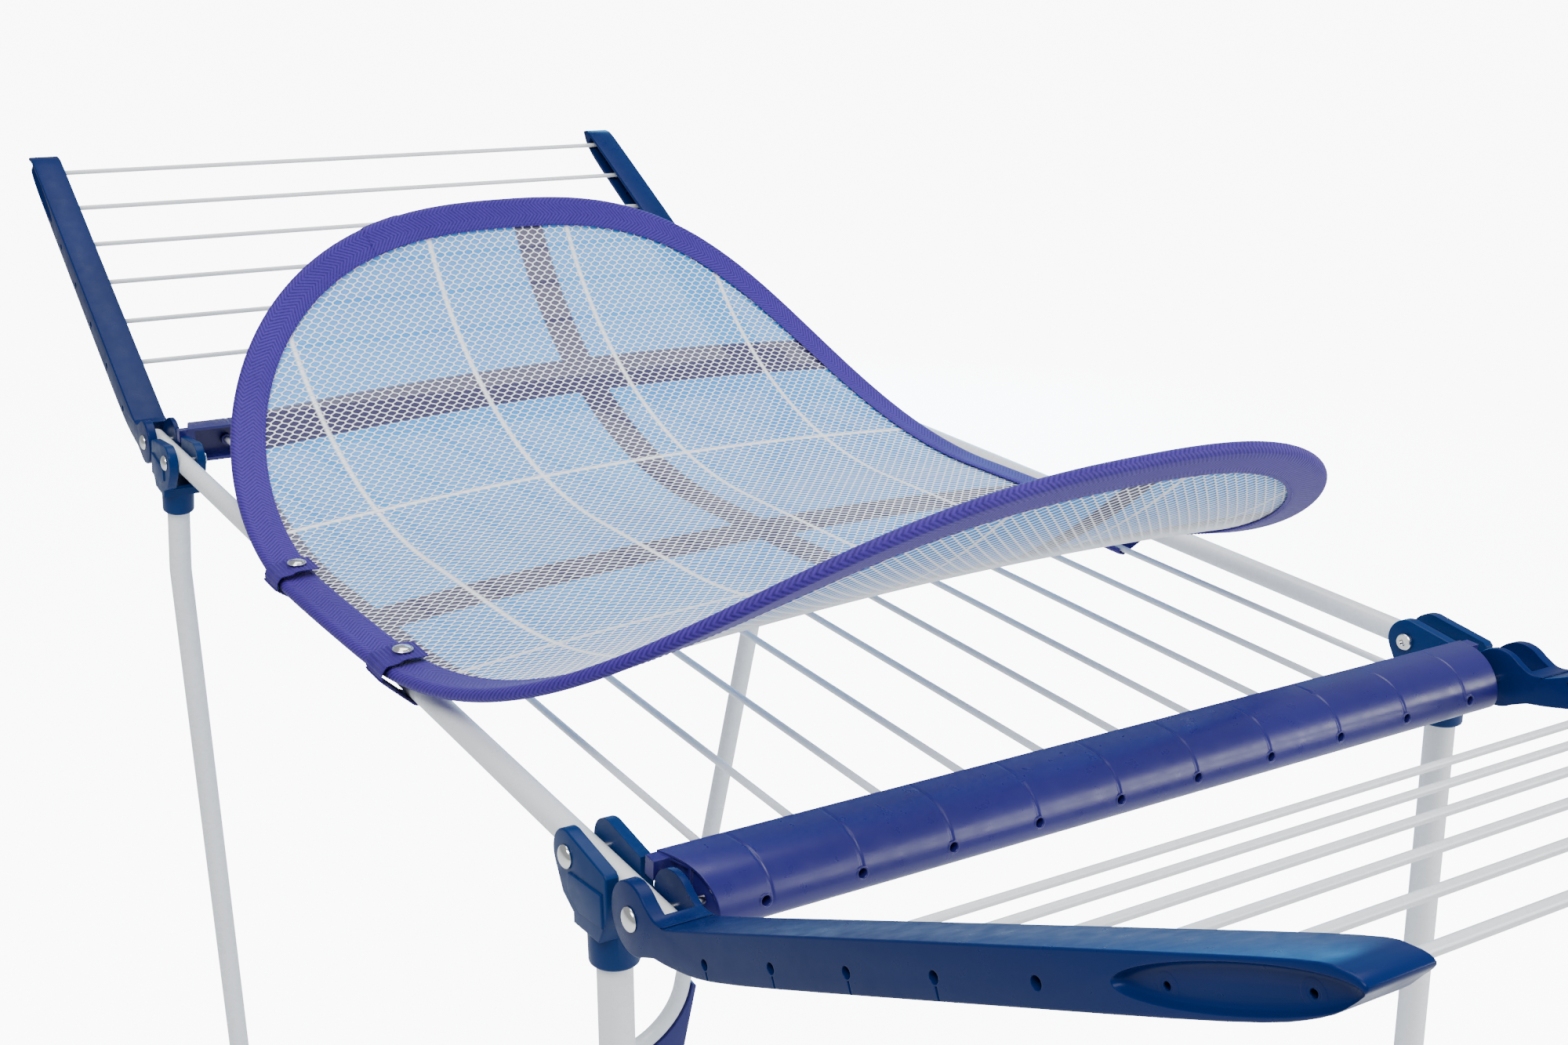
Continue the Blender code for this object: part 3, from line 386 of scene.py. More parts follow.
def measured_grid(rows, wrap_rows, wrap_ring):
    """Skin a grid of points, with UVs in metres along the rows and around them."""
    mesh_data = bmesh.new()
    layer = mesh_data.loops.layers.uv.new("metres")
    verts = [[mesh_data.verts.new(point) for point in row] for row in rows]
    count, width = len(rows), len(rows[0])
    s, t = [0.0], [0.0]
    for i in range(count):
        s.append(s[-1] + (rows[(i + 1) % count][0] - rows[i][0]).length)
    for j in range(width):
        t.append(t[-1] + (rows[0][(j + 1) % width] - rows[0][j]).length)
    for i in range(count if wrap_rows else count - 1):
        for j in range(width if wrap_ring else width - 1):
            corners = [(i, j), (i + 1, j), (i + 1, j + 1), (i, j + 1)]
            face = mesh_data.faces.new([verts[a % count][b % width] for a, b in corners])
            for loop, (a, b) in zip(face.loops, corners):
                loop[layer].uv = (s[a], t[b])
    bmesh.ops.recalc_face_normals(mesh_data, faces=mesh_data.faces)
    return mesh_data


def circle(centre, along, radius, sides, up=UP):
    """Points on a circle round a direction."""
    along = along.normalized()
    first = along.cross(up)
    first = first.normalized() if first.length > 1e-6 else along.orthogonal().normalized()
    second = along.cross(first)
    return [centre + radius * (cos(a) * first + sin(a) * second) for a in turns(sides)]


def bar(mesh_data, start, stop, radius, sides=16):
    """A straight round bar with softened ends."""
    along = (stop - start).normalized()
    places = [(start, radius - BAR_ROUNDING), (start + along * BAR_ROUNDING, radius),
              (stop - along * BAR_ROUNDING, radius), (stop, radius - BAR_ROUNDING)]
    return loft(mesh_data, [circle(p, along, r, sides) for p, r in places])


def pipe(path, radius, up):
    """A tube with open ends along a path."""
    outer, inner = ([circle(point, direction(path, i), size, TUBE_SIDES, up) for i, point in enumerate(path)]
                    for size in (radius, radius - TUBE_WALL))
    return loft(bmesh.new(), outer + inner[::-1], wrap=True)


def smooth(points, steps):
    """Catmull-Rom points through an open 2D path."""
    result = []
    for i in range(len(points) - 1):
        p = [Vector(points[max(0, min(len(points) - 1, i + k))]) for k in (-1, 0, 1, 2)]
        for step in range(steps):
            t = step / steps
            result.append(0.5 * (2 * p[1] + (p[2] - p[0]) * t + (2 * p[0] - 5 * p[1] + 4 * p[2] - p[3]) * t ** 2
                    + (3 * p[1] - p[0] - 3 * p[2] + p[3]) * t ** 3))
    return result + [Vector(points[-1])]


def arc(centre, radius, start, end, steps):
    """Points on an arc, in degrees."""
    angles = [math.radians(start + (end - start) * i / steps) for i in range(steps + 1)]
    return [Vector((centre[0] + radius * cos(a), centre[1] + radius * sin(a))) for a in angles]


def inset(outline, distance):
    """Move a closed 2D outline inward by a small distance."""
    area = sum(a.x * b.y - b.x * a.y for a, b in zip(outline, outline[1:] + outline[:1]))
    side = 1 if area > 0 else -1
    moved = []
    for i, point in enumerate(outline):
        before = (point - outline[i - 1]).normalized()
        after = (outline[(i + 1) % len(outline)] - point).normalized()
        normal = Vector((-(before.y + after.y), before.x + after.x)) * side
        stretch = max(0.5, normal.length / 2)
        moved.append(point + normal.normalized() * distance / stretch)
    return moved


def rounded_prism(outline, low, high, radius, into=None):
    """Extrude an outline in X and Z along Y, with rounded rims."""
    outline = [Vector(point) for point in outline]
    sign = 1 if high > low else -1
    rings = []
    for end, way in ((low, sign), (high, -sign)):
        steps = [(end + way * radius * (1 - sin(a)), radius * (1 - cos(a)))
                 for a in (pi / 2, pi / 3, pi / 6, 0)]
        rings += steps if end == low else steps[::-1]
    rings = [[Vector((p.x, y, p.y)) for p in inset(outline, d)] for y, d in rings]
    return loft(bmesh.new() if into is None else into, rings)


def prism(outline, low, high, into=None):
    """Extrude an outline in X and Z along Y, as a new bmesh or into one."""
    rings = [[Vector((x, y, z)) for x, z in outline] for y in (low, high)]
    return loft(bmesh.new() if into is None else into, rings)


def carved(mesh_data, cuts, joins=()):
    """Cut and join meshes with exact Booleans, and return the result as a bmesh."""
    base = as_object("work", mesh_data)
    helpers = []
    for operation, group in (("UNION", joins), ("DIFFERENCE", cuts)):
        for data in group:
            helpers.append(as_object("work", data))
            modifier = base.modifiers.new("work", "BOOLEAN")
            modifier.operation = operation
            modifier.solver = "EXACT"
            modifier.object = helpers[-1]
    bpy.context.view_layer.update()
    result = bmesh.new()
    result.from_object(base, bpy.context.evaluated_depsgraph_get())
    for old in [base, *helpers]:
        bpy.data.objects.remove(old, do_unlink=True)
    bmesh.ops.dissolve_degenerate(result, dist=1e-6, edges=result.edges)
    return result


def placed(mesh_data, change):
    """A moved copy of a bmesh; change maps a point to its place."""
    copy = mesh_data.copy()
    for vert in copy.verts:
        vert.co = change(vert.co)
    bmesh.ops.recalc_face_normals(copy, faces=copy.faces)
    return copy


# ---- rack
def rod_y(index):
    """Side position of a drying rod in the rack."""
    return -ROD_PITCH * (ROD_COUNT - 1) / 2 + index * ROD_PITCH


def make_rails():
    """Two side tubes with a plastic plug in each end."""
    for label, side in SIDES:
        ends = [RACK + Vector((x, side * RAIL_Y, 0)) for x in (-RAIL_END_X, RAIL_END_X)]
        stand_in("rail_" + label, pipe(ends, RAIL_RADIUS, UP), WHITE_COAT, "frame", "white_coat")
        plugs = bmesh.new()
        for end in ends:
            out = Vector((math.copysign(1, end.x), 0, 0))
            bar(plugs, end - out * 0.012, end - out * 0.0012, PLUG_RADIUS, 24)
        finished("rail_%s_plugs" % label, plugs, BLACK, "frame", "navy_plastic")


def make_rod(node_name, ends, body):
    """A coated steel drying rod."""
    stand_in(node_name, bar(bmesh.new(), *ends, ROD_RADIUS), WHITE_COAT, body, "white_coat")


def make_centre_rods():
    """The drying rods between the crossbeams."""
    reach = BEAM_INNER_X + BEAM_CHANNEL + 0.004
    for index in range(ROD_COUNT):
        ends = [RACK + Vector((x, rod_y(index), 0)) for x in (-reach, reach)]
        make_rod("centre_rod_%02d" % (index + 1), ends, "frame")


def beam_nose():
    """The outer skin of a crossbeam's section, from its inner top edge round to its bottom."""
    x0, x1 = BEAM_INNER_X, BEAM_INNER_X + BEAM_WIDTH
    points = [(x0, BEAM_TOP - 0.0006), (x0 + 0.4 * BEAM_WIDTH, BEAM_TOP),
              (x0 + 0.7 * BEAM_WIDTH, BEAM_TOP - 0.003), (x0 + 0.91 * BEAM_WIDTH, BEAM_TOP - 0.0095),
              (x1, BEAM_TOP - 0.0175), (x1 - 0.0012, BEAM_BOTTOM + 0.005), (x1 - 0.007, BEAM_BOTTOM)]
    return smooth(points, 6)


def groove_at(y):
    """Depth of the moulded groove at a side position, 0 to 1."""
    away = min(abs(y - rod_y(index)) for index in range(ROD_COUNT))
    return max(0.0, 1 - (away / GROOVE_HALF) ** 2)


def beam_stations():
    """Side positions of the rings along a crossbeam."""
    stations = [-BEAM_END_Y, BEAM_END_Y]
    for index in range(ROD_COUNT):
        stations += [rod_y(index) + GROOVE_HALF * k for k in (-1.6, -1, -0.7, -0.35, 0, 0.35, 0.7, 1, 1.6)]
    return sorted(stations)


def beam_taper(x):
    """How far a crossbeam's end is drawn in at a place across its section."""
    return BEAM_END_TAPER * max(0.0, x - BEAM_INNER_X) / BEAM_WIDTH


def beam_ring(y, shrink=0.0):
    """One ring of a crossbeam; shrink insets it for the end."""
    nose = beam_nose()
    web = BEAM_INNER_X + BEAM_CHANNEL
    hollow = [(BEAM_INNER_X + 0.006, BEAM_BOTTOM), (BEAM_INNER_X + 0.006, BEAM_BOTTOM + BEAM_SHELL),
              (web, BEAM_BOTTOM + BEAM_SHELL), (web, BEAM_TOP - BEAM_SHELL),
              (BEAM_INNER_X, BEAM_TOP - BEAM_SHELL)]
    depth = GROOVE_DEPTH * groove_at(y)
    ring = []
    for i, point in enumerate(nose):
        along = direction(nose, i)
        share = min(1.0, max(0.0, (point.y + 0.002) / 0.004)) * min(1.0, i / 5)
        ring.append(point + Vector((along.y, -along.x)) * depth * share)
    ring += [Vector(point) for point in hollow]
    if shrink:
        ring = inset(ring, shrink)
    pull = (abs(y) / BEAM_END_Y) ** 8
    return [Vector((p.x, math.copysign(abs(y) - beam_taper(p.x) * pull, y), p.y)) for p in ring]


def make_crossbeam(prefix, end):
    """A crossbeam shell with grooves, rimmed holes, recessed ends and inner ribs."""
    caps = ((0.0016, 0.0011), (0.0, 0.0011), (0.0, 0.0))
    first, last = ([[p - Vector((0, side * depth, 0)) for p in beam_ring(side * BEAM_END_Y, shrink)]
                    for depth, shrink in caps] for side in (-1, 1))
    shell = loft(bmesh.new(), first + [beam_ring(y) for y in beam_stations()[1:-1]] + last[::-1])
    outer, web = BEAM_INNER_X + BEAM_WIDTH, BEAM_INNER_X + BEAM_CHANNEL
    drills = bmesh.new()
    for index in range(ROD_COUNT):
        bar(drills, Vector((outer - 0.014, rod_y(index), 0)), Vector((outer + 0.01, rod_y(index), 0)),
            HOLE_RADIUS, 24)
    shell = carved(shell, [drills])
    for index in range(ROD_COUNT):
        ring_of(shell, Vector((outer - 0.0004, rod_y(index), 0)), Vector((1, 0, 0.12)), HOLE_RADIUS + 0.0005,
                0.0005)
        sleeve(shell, Vector((web - 0.005, rod_y(index), 0)), Vector((web + 0.001, rod_y(index), 0)), 0.0042,
               ROD_RADIUS + 0.0003)
    rib = [(BEAM_INNER_X + 0.007, BEAM_BOTTOM + 0.001), (web + 0.001, BEAM_BOTTOM + 0.001),
           (web + 0.001, BEAM_TOP - 0.001), (BEAM_INNER_X + 0.002, BEAM_TOP - 0.001)]
    for index in range(ROD_COUNT - 1):
        y = rod_y(index) + ROD_PITCH / 2
        prism(rib, y - INNER_RIB_HALF, y + INNER_RIB_HALF, shell)
    plate = inset(beam_nose() + [Vector((BEAM_INNER_X, BEAM_BOTTOM))], 0.0009)
    lug = [(BEAM_INNER_X + 0.0004, BEAM_TOP - 0.0012), (BEAM_INNER_X + 0.0004, BEAM_TOP - 0.0104),
           (BEAM_INNER_X + 0.0074, BEAM_TOP - 0.0104), (BEAM_INNER_X + 0.0074, BEAM_TOP - 0.0012)]
    for side in (-1, 1):
        loft(shell, [[Vector((p.x, side * (BEAM_END_Y - depth - beam_taper(p.x)), p.y)) for p in plate]
                     for depth in (0.002, 0.0036)])
        prism(lug, side * (BEAM_END_Y - 0.006), side * RAIL_INSIDE, shell)
    whole = placed(shell, lambda p: RACK + Vector((end * p.x, p.y, p.z)))
    shell.free()
    stand_in(prefix + "_crossbeam", whole, NAVY, "frame", "navy_plastic")


def ring_of(mesh_data, centre, axis, radius, thickness):
    """Add a small torus."""
    axis = axis.normalized()
    first = axis.cross(Vector((0, 1, 0))).normalized()
    second = axis.cross(first)
    rings = []
    for angle in turns(24):
        out = cos(angle) * first + sin(angle) * second
        rings.append([centre + out * (radius + thickness * cos(b)) + axis * thickness * sin(b)
                      for b in turns(8)])
    return loft(mesh_data, rings, wrap=True)


def sleeve(mesh_data, start, stop, outer, inner):
    """Add a short collar."""
    corners = ((start, outer), (stop, outer), (stop, inner), (start, inner))
    return loft(mesh_data, [circle(end, stop - start, radius, 20) for end, radius in corners], wrap=True)


# ---- pins
def make_pin(name, lobed):
    """A domed pin; a leg pin also has a nut with a six-lobed socket on its inner end."""
    low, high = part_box(name)
    centre = (low + high) / 2
    side = 1 if centre.y > RACK_Y else -1
    inner, outer = (low.y, high.y) if side > 0 else (high.y, low.y)
    seat = outer - side * PIN_HEAD_HEIGHT
    shoulder = seat - side * GAP * 0.8
    profile = [(seat + side * PIN_HEAD_HEIGHT * cos(a), max(0.0004, PIN_HEAD_RADIUS * sin(a)), 0)
               for a in (pi / 2 * step / 8 for step in range(9))]
    profile += [(shoulder, PIN_HEAD_RADIUS * 0.97, 0), (shoulder, PIN_RADIUS, 0)]
    if lobed:
        nut = PIN_HEAD_RADIUS * 0.85
        profile += [(inner + side * PIN_HEAD_HEIGHT, PIN_RADIUS, 0), (inner + side * PIN_HEAD_HEIGHT, nut, 0),
                    (inner + side * 0.0006, nut, 0), (inner, PIN_HEAD_RADIUS * 0.76, 0), (inner, 0.0021, 0.14),
                    (inner + side * 0.0014, 0.002, 0.14)]
    else:
        profile += [(inner, PIN_RADIUS, 0)]
    rings = []
    for y, radius, lobes in profile:
        rings.append([])
        for angle in turns(36):
            r = radius * (1 + lobes * cos(6 * angle))
            rings[-1].append(Vector((centre.x + r * cos(angle), y, PIN_Z + r * sin(angle))))
    stand_in(name, loft(bmesh.new(), rings), NICKEL, "frame", "nickel")


def place_of(pivot_x, angle, end, side=1):
    """Map from the own frame of a wing or a leg frame to the row frame."""
    c, s = cos(angle), sin(angle)

    def change(p):
        x = pivot_x + p.x * c - p.z * s
        return Vector((end * x, RACK_Y + side * p.y, PIN_Z + p.x * s + p.z * c))
    return change


# ---- wings
def wing_rod_s(index):
    """Distance of a wing rod from the hinge pin, along the arm."""
    return WING_FIRST_ROD + index * WING_ROD_PITCH


def arm_mesh():
    """A wing arm on the far side of the right wing, with its hinge pin at (0, 0)."""
    reach = ARM_REACH
    top = [(0.0172, 0.003), (0.0205, -0.0008), (0.027, -0.0032), (0.04, ARM_TOP),
           (reach * 0.4, ARM_TOP - 0.0012), (reach * 0.76, ARM_TOP - 0.0027),
           (reach * 0.945, ARM_TOP - 0.0038), (reach * 0.985, ARM_TOP - 0.0062),
           (reach, ARM_TOP - 0.01), (reach * 0.988, ARM_BOTTOM + 0.0075),
           (reach * 0.955, ARM_BOTTOM + 0.0028), (reach * 0.87, ARM_BOTTOM + 0.0003),
           (reach * 0.6, ARM_BOTTOM), (reach * 0.3, ARM_BOTTOM + 0.0001), (0.07, ARM_BOTTOM + 0.0006),
           (0.046, ARM_BOTTOM + 0.002), (0.026, ARM_BOTTOM + 0.0056), (0.013, ARM_BOTTOM + 0.009)]
    cheek = arc((0, 0), ARM_CHEEK_RADIUS, 280, 22, 30)
    solid = rounded_prism(smooth(top, 4) + cheek, ARM_INSIDE, CHEEK_FACE, 0.0009)
    slot_reach = math.hypot(0.015, 0.0088) + 6 * GAP
    slot = prism([(-0.04, -0.04), (slot_reach - 0.002, -0.04), (slot_reach, -0.012), (slot_reach, 0.04),
                  (-0.04, 0.04)], RAIL_INSIDE, RAIL_OUTSIDE)
    low, high = ARM_BOTTOM + ARM_SHELL, ARM_TOP - 0.0005 - ARM_SHELL
    far, web = wing_rod_s(WING_ROD_COUNT - 1) + 2 * ROD_RADIUS, CHEEK_FACE - ARM_WEB
    pocket = prism([(0.04, low + 0.003), (0.056, low + 0.0014), (reach * 0.6, low), (far, low + 0.0022),
                    (far, high - 0.003), (0.04, high)], ARM_INSIDE - ARM_WEB, web)
    marks = bmesh.new()
    groove_end = -WING_ROD_DROP - HOLE_RADIUS * 1.2
    for index in range(-1, WING_ROD_COUNT):
        s = wing_rod_s(index)
        size = HOLE_RADIUS if index < WING_ROD_COUNT - 2 else HOLE_RADIUS * 0.55
        bar(marks, Vector((s, CHEEK_FACE - 0.0065, -WING_ROD_DROP)),
            Vector((s, CHEEK_FACE + 0.004, -WING_ROD_DROP)), size, 20)
        if index < 3:
            groove = [(s - 0.0004, ARM_BOTTOM - 0.002), (s + 0.0004, ARM_BOTTOM - 0.002),
                      (s + 0.0006, groove_end), (s - 0.0006, groove_end)]
            prism(groove, CHEEK_FACE - 0.0005, CHEEK_FACE + 0.002, marks)
    solid = carved(solid, [slot, pocket, grip_dish(), marks])
    for index in range(-1, WING_ROD_COUNT):
        s = wing_rod_s(index)
        sleeve(solid, Vector((s, CHEEK_FACE - 0.0125, -WING_ROD_DROP)),
               Vector((s, web + 0.0005, -WING_ROD_DROP)), 0.004, ROD_RADIUS + 0.0002)
        if 0 <= index < WING_ROD_COUNT - 1:
            x0, x1 = (s + WING_ROD_PITCH / 2 + way * INNER_RIB_HALF for way in (-1, 1))
            rib = [(x0, low - 0.0004), (x1, low - 0.0004), (x1, high - 0.0018), (x0, high - 0.0018)]
            prism(rib, web + 0.0002, ARM_INSIDE + 0.006, solid)
    return solid


def grip_dish():
    """The dished finger recess near an arm's tip, as a cutter."""
    middle = ARM_REACH - GRIP_LENGTH * 0.51
    half_height = (ARM_TOP - ARM_BOTTOM) * 0.33
    rings = []
    for share, y in ((1.02, CHEEK_FACE + 0.001), (1.0, CHEEK_FACE), (0.94, CHEEK_FACE - 0.0012),
            (0.88, CHEEK_FACE - 0.0024), (0.78, CHEEK_FACE - 0.0031), (0.6, CHEEK_FACE - GRIP_DEPTH)):
        half_length = GRIP_LENGTH / 2 * (1 - (1 - share) * 0.45)
        rings.append([Vector((middle + half_length * cos(angle), y,
                -WING_ROD_DROP + 0.0012 + half_height * share * sin(angle)))
                      for angle in turns(56)])
    return loft(bmesh.new(), rings)


def make_wings():
    """Four arms from one mesh, and the rods between them."""
    arm = arm_mesh()
    for prefix, end in ENDS:
        for label, side in SIDES:
            whole = placed(arm, place_of(WING_HINGE_X, WING_REST_ANGLE, end, side))
            stand_in("%s_wing_arm_%s" % (prefix, label), whole, ARM_BLUE, prefix + "_wing", "navy_plastic")
        change = place_of(WING_HINGE_X, WING_REST_ANGLE, end)
        half = CHEEK_FACE - 0.009
        for index in range(WING_ROD_COUNT):
            ends = [change(Vector((wing_rod_s(index), y, -WING_ROD_DROP))) for y in (-half, half)]
            make_rod("%s_wing_rod_%d" % (prefix, index + 1), ends, prefix + "_wing")
    arm.free()


# ---- leg frames
def fillet(corner, before, after, radius, steps):
    """Round the corner between two straight runs of a 2D path."""
    back, ahead = (before - corner).normalized(), (after - corner).normalized()
    half = back.angle(ahead) / 2
    centre = corner + (back + ahead).normalized() * radius / sin(half)
    first = corner + back * radius / math.tan(half) - centre
    last = corner + ahead * radius / math.tan(half) - centre
    sweep = (pi - 2 * half) * (1 if first.cross(last) > 0 else -1)
    points = []
    for i in range(steps + 1):
        c, s = cos(sweep * i / steps), sin(sweep * i / steps)
        points.append(centre + Vector((first.x * c - first.y * s, first.x * s + first.y * c)))
    return points


def leg_path(narrowing):
    """Centre line of a U-shaped leg tube in its own frame."""
    bar_z = -(PIN_Z / cos(LEG_SPLAY) - FOOT_SOLE - LEG_RADIUS)
    top = Vector((-RAIL_Y, SOCKET_TOP - SOCKET_SEAT))
    corner = Vector((-(RAIL_Y - narrowing * (-bar_z - LEG_STRAIGHT_TOP)), bar_z))
    half, start = [top], top
    if narrowing:
        knee = Vector((-RAIL_Y, -LEG_STRAIGHT_TOP))
        half += fillet(knee, top, corner, LEG_BEND_RADIUS, 5)
        start = knee
    half += fillet(corner, start, Vector((0, bar_z)), LEG_BEND_RADIUS, 20)
    return [Vector((LEG_OFFSET, p.x, p.y)) for p in half + [Vector((-p.x, p.y)) for p in half[::-1]]]


def bracket_mesh():
    """A leg bracket on the far side of the right leg frame, with its pivot at (0, 0)."""
    back = LEG_OFFSET - SOCKET_RADIUS
    outline = arc((0, 0), BRACKET_CHEEK_RADIUS, 70, 205, 16) + [
        (-0.0045, -0.0185), (back, SOCKET_TOP - 0.003), (back, SOCKET_TOP - 0.008),
        (LEG_OFFSET + SOCKET_RADIUS - 0.001, SOCKET_TOP - 0.008), (BRACKET_REACH - 0.0006, -0.0165),
        (BRACKET_REACH, -0.014), (BRACKET_REACH, 0.003), (BRACKET_REACH - 0.002, 0.005)]
    solid = rounded_prism(outline, BRACKET_INSIDE, CHEEK_FACE, 0.0009)
    levels = [(SOCKET_TOP - 0.0012, 0.9), (SOCKET_TOP - 0.002, 0.97), (SOCKET_TOP - 0.0032, 1.0),
              (SOCKET_BOTTOM + 0.0016, 0.97), (SOCKET_BOTTOM + 0.0006, 0.94), (SOCKET_BOTTOM, 0.88)]
    axis, start = Vector((LEG_OFFSET, RAIL_Y, 0)), Vector((1, 0, 0))
    socket = loft(bmesh.new(), [circle(axis + UP * z, -UP, SOCKET_RADIUS * r, 40, start) for z, r in levels])
    slot = prism([(-0.05, 0.05), (-0.05, SOCKET_TOP - 0.006), (0.002, SOCKET_TOP - 0.006),
                  (back, SOCKET_TOP), (0.06, SOCKET_TOP), (0.06, 0.05)], RAIL_INSIDE, RAIL_OUTSIDE)
    reach = BEAM_INNER_X - LEG_PIVOT_X - 0.0028
    trim = prism([(reach, -0.05), (0.06, -0.05), (0.06, 0.05), (reach, 0.05)], BRACKET_INSIDE - 0.002,
                 RAIL_INSIDE + 0.001)
    bore = loft(bmesh.new(), [circle(axis - UP * d, -UP, LEG_RADIUS + GAP, 40, start)
            for d in (SOCKET_SEAT - SOCKET_TOP - GAP, 0.1)])
    solid = carved(solid, [slot, trim, bore], [socket])
    plate = [(0.003, -0.006), (0.033, -0.0045), (0.0335, -0.0205), (0.0125, -0.0215), (0.002, -0.015)]
    return rounded_prism(plate, CHEEK_FACE - 0.0006, CHEEK_FACE + 0.0011, 0.0007, solid)


def make_legs():
    """U-shaped tubes, brackets and feet."""
    bracket = bracket_mesh()
    for (prefix, end), narrowing in zip(ENDS, (LEG_NARROWING, 0.0)):
        path = [place_of(LEG_PIVOT_X, LEG_SPLAY, end)(p) for p in leg_path(narrowing)]
        tube = pipe(path, LEG_RADIUS, Vector((1, 0, 0.1 * end)))
        stand_in(prefix + "_leg_tube", tube, WHITE_COAT, prefix + "_leg", "white_coat")
        for label, side in SIDES:
            whole = placed(bracket, place_of(LEG_PIVOT_X, LEG_SPLAY, end, side))
            stand_in("%s_leg_bracket_%s" % (prefix, label), whole, BLUE, prefix + "_leg", "blue_plastic")
            make_foot("%s_foot_%s" % (prefix, label), prefix)
    bracket.free()


def make_foot(node_name, prefix):
    """A foot with softened edges."""
    solid = bmesh.new()
    solid.from_mesh(frame["nodes"][node_name].data)
    bmesh.ops.remove_doubles(solid, verts=solid.verts, dist=0.00001)
    bmesh.ops.dissolve_limit(solid, angle_limit=math.radians(1), verts=solid.verts, edges=solid.edges)
    rims = [e for e in solid.edges if e.is_manifold and e.calc_face_angle() > math.radians(50)
            and e.calc_length() > 0.004]
    bmesh.ops.bevel(solid, geom=rims, offset=0.0009, segments=3, profile=0.5, affect="EDGES",
                    clamp_overlap=True)
    bmesh.ops.recalc_face_normals(solid, faces=solid.faces)
    stand_in(node_name, solid, NAVY, prefix + "_leg", "navy_plastic")


# ---- drying net
def rim_point(angle):
    """The wire's place on the flat oval."""
    c, s = cos(angle), sin(angle)
    total = abs(c / HOOP_HALF_LENGTH) ** HOOP_SQUARENESS + abs(s / HOOP_HALF_WIDTH) ** HOOP_SQUARENESS
    return Vector((c, s)) * total ** (-1 / HOOP_SQUARENESS)


def rim_outward(angle):
    """Outward direction at the wire, on the flat oval."""
    along = rim_point(angle + 1e-3) - rim_point(angle - 1e-3)
    return Vector((along.y, -along.x)).normalized()


def bent(point, lift=0.0):
    """Bend a point of the flat oval into the saddle, lift above the cloth's middle."""
    curl = HOOP_CURL_LEFT if point.x < 0 else HOOP_CURL_RIGHT
    turn = curl * max(abs(point.x) - HOOP_FLAT, 0)
    flat = min(abs(point.x), HOOP_FLAT)
    x = math.copysign(flat + sin(turn) / curl - lift * sin(turn), point.x)
    crown = HOOP_CROWN * (1 - (point.y / HOOP_HALF_WIDTH) ** 2)
    z = HOOP_EDGE_Z + crown + (1 - cos(turn)) / curl + lift * cos(turn)
    c, s = cos(HOOP_TURN), sin(HOOP_TURN)
    return RACK + Vector((HOOP_CENTRE[0] + x * c - point.y * s, HOOP_CENTRE[1] + x * s + point.y * c, z))


def rim_inset(angle, margin):
    """A point of the flat oval, inside the wire by a margin."""
    return rim_point(angle) - rim_outward(angle) * margin


def rim_row(angle, section):
    """A section of (outward, lift) points at one place of the rim."""
    rim, outward = rim_point(angle), rim_outward(angle)
    return [bent(rim + outward * o, h) for o, h in section]


def binding_section(extra=0.0):
    """Section of the folded tape as (outward, lift), from its upper inner edge round to the lower one."""
    outer = BINDING_OUTER + extra
    over = [(-BINDING_WIDTH + extra, BINDING_EDGE - 0.0004 + extra),
            (-BINDING_WIDTH + 0.0006, BINDING_EDGE + extra),
            (-0.014, BINDING_EDGE + 0.0003 + extra), (-0.009, BINDING_EDGE + 0.0006 + extra),
            (-0.004, outer - 0.0003)]
    over += [(outer * cos(a), outer * sin(a)) for a in (pi / 2 * (1 - k / 8) for k in range(9))]
    return over + [(o, -h) for o, h in over[-2::-1]]


def make_binding():
    """Folded tape round the hoop, its lap seam and its stitches."""
    inner = [(-BINDING_WIDTH + 0.0004, -BINDING_EDGE + 0.0012), (-BINDING_WIDTH + 0.006, -0.0012),
             (-BINDING_WIDTH + 0.006, 0.0012), (-BINDING_WIDTH + 0.0004, BINDING_EDGE - 0.0012)]
    rows = [rim_row(angle, binding_section() + inner) for angle in turns(300)]
    binding = finished("binding_tape", measured_grid(rows, True, True), TAPE, "frame", "purple_webbing",
            "hoop_binding")
    rows = [rim_row(math.radians(193.0 + 4.6 * i / 13), binding_section(0.0003 if i in (0, 13) else 0.0006))
            for i in range(14)]
    lap = finished("binding_lap", measured_grid(rows, False, False), TAPE, "frame", "purple_webbing")
    return [binding, lap, make_stitches()]


def make_stitches():
    """A row of lockstitches along the binding's inner edge, above and below."""
    stitches = bmesh.new()
    line = [rim_inset(angle, BINDING_WIDTH - STITCH_INSET) for angle in turns(2400)]
    travelled, due = 0.0, 0.0
    for here, ahead in zip(line, line[1:] + line[:1]):
        if travelled >= due:
            along = (ahead - here).normalized()
            due += STITCH_PITCH
            for way in (-1, 1):
                lift = way * (BINDING_EDGE + 0.0001)
                centre = bent(here, lift)
                forward = (bent(here + along * 0.001, lift) - centre).normalized()
                loft(stitches, [circle(centre + forward * STITCH_LENGTH * share, forward,
                        STITCH_RADIUS * size, 6)
                                for share, size in ((-0.5, 0.15), (-0.3, 0.9), (0.3, 0.9), (0.5, 0.15))])
        travelled += (ahead - here).length
    return finished("binding_stitches", stitches, THREAD, "frame", "purple_webbing")


def inside_binding(u, v):
    """True where a flat point lies inside the net's edge."""
    angle = math.atan2(v, u)
    return (rim_point(angle) - Vector((u, v))).dot(rim_outward(angle)) > NET_MARGIN


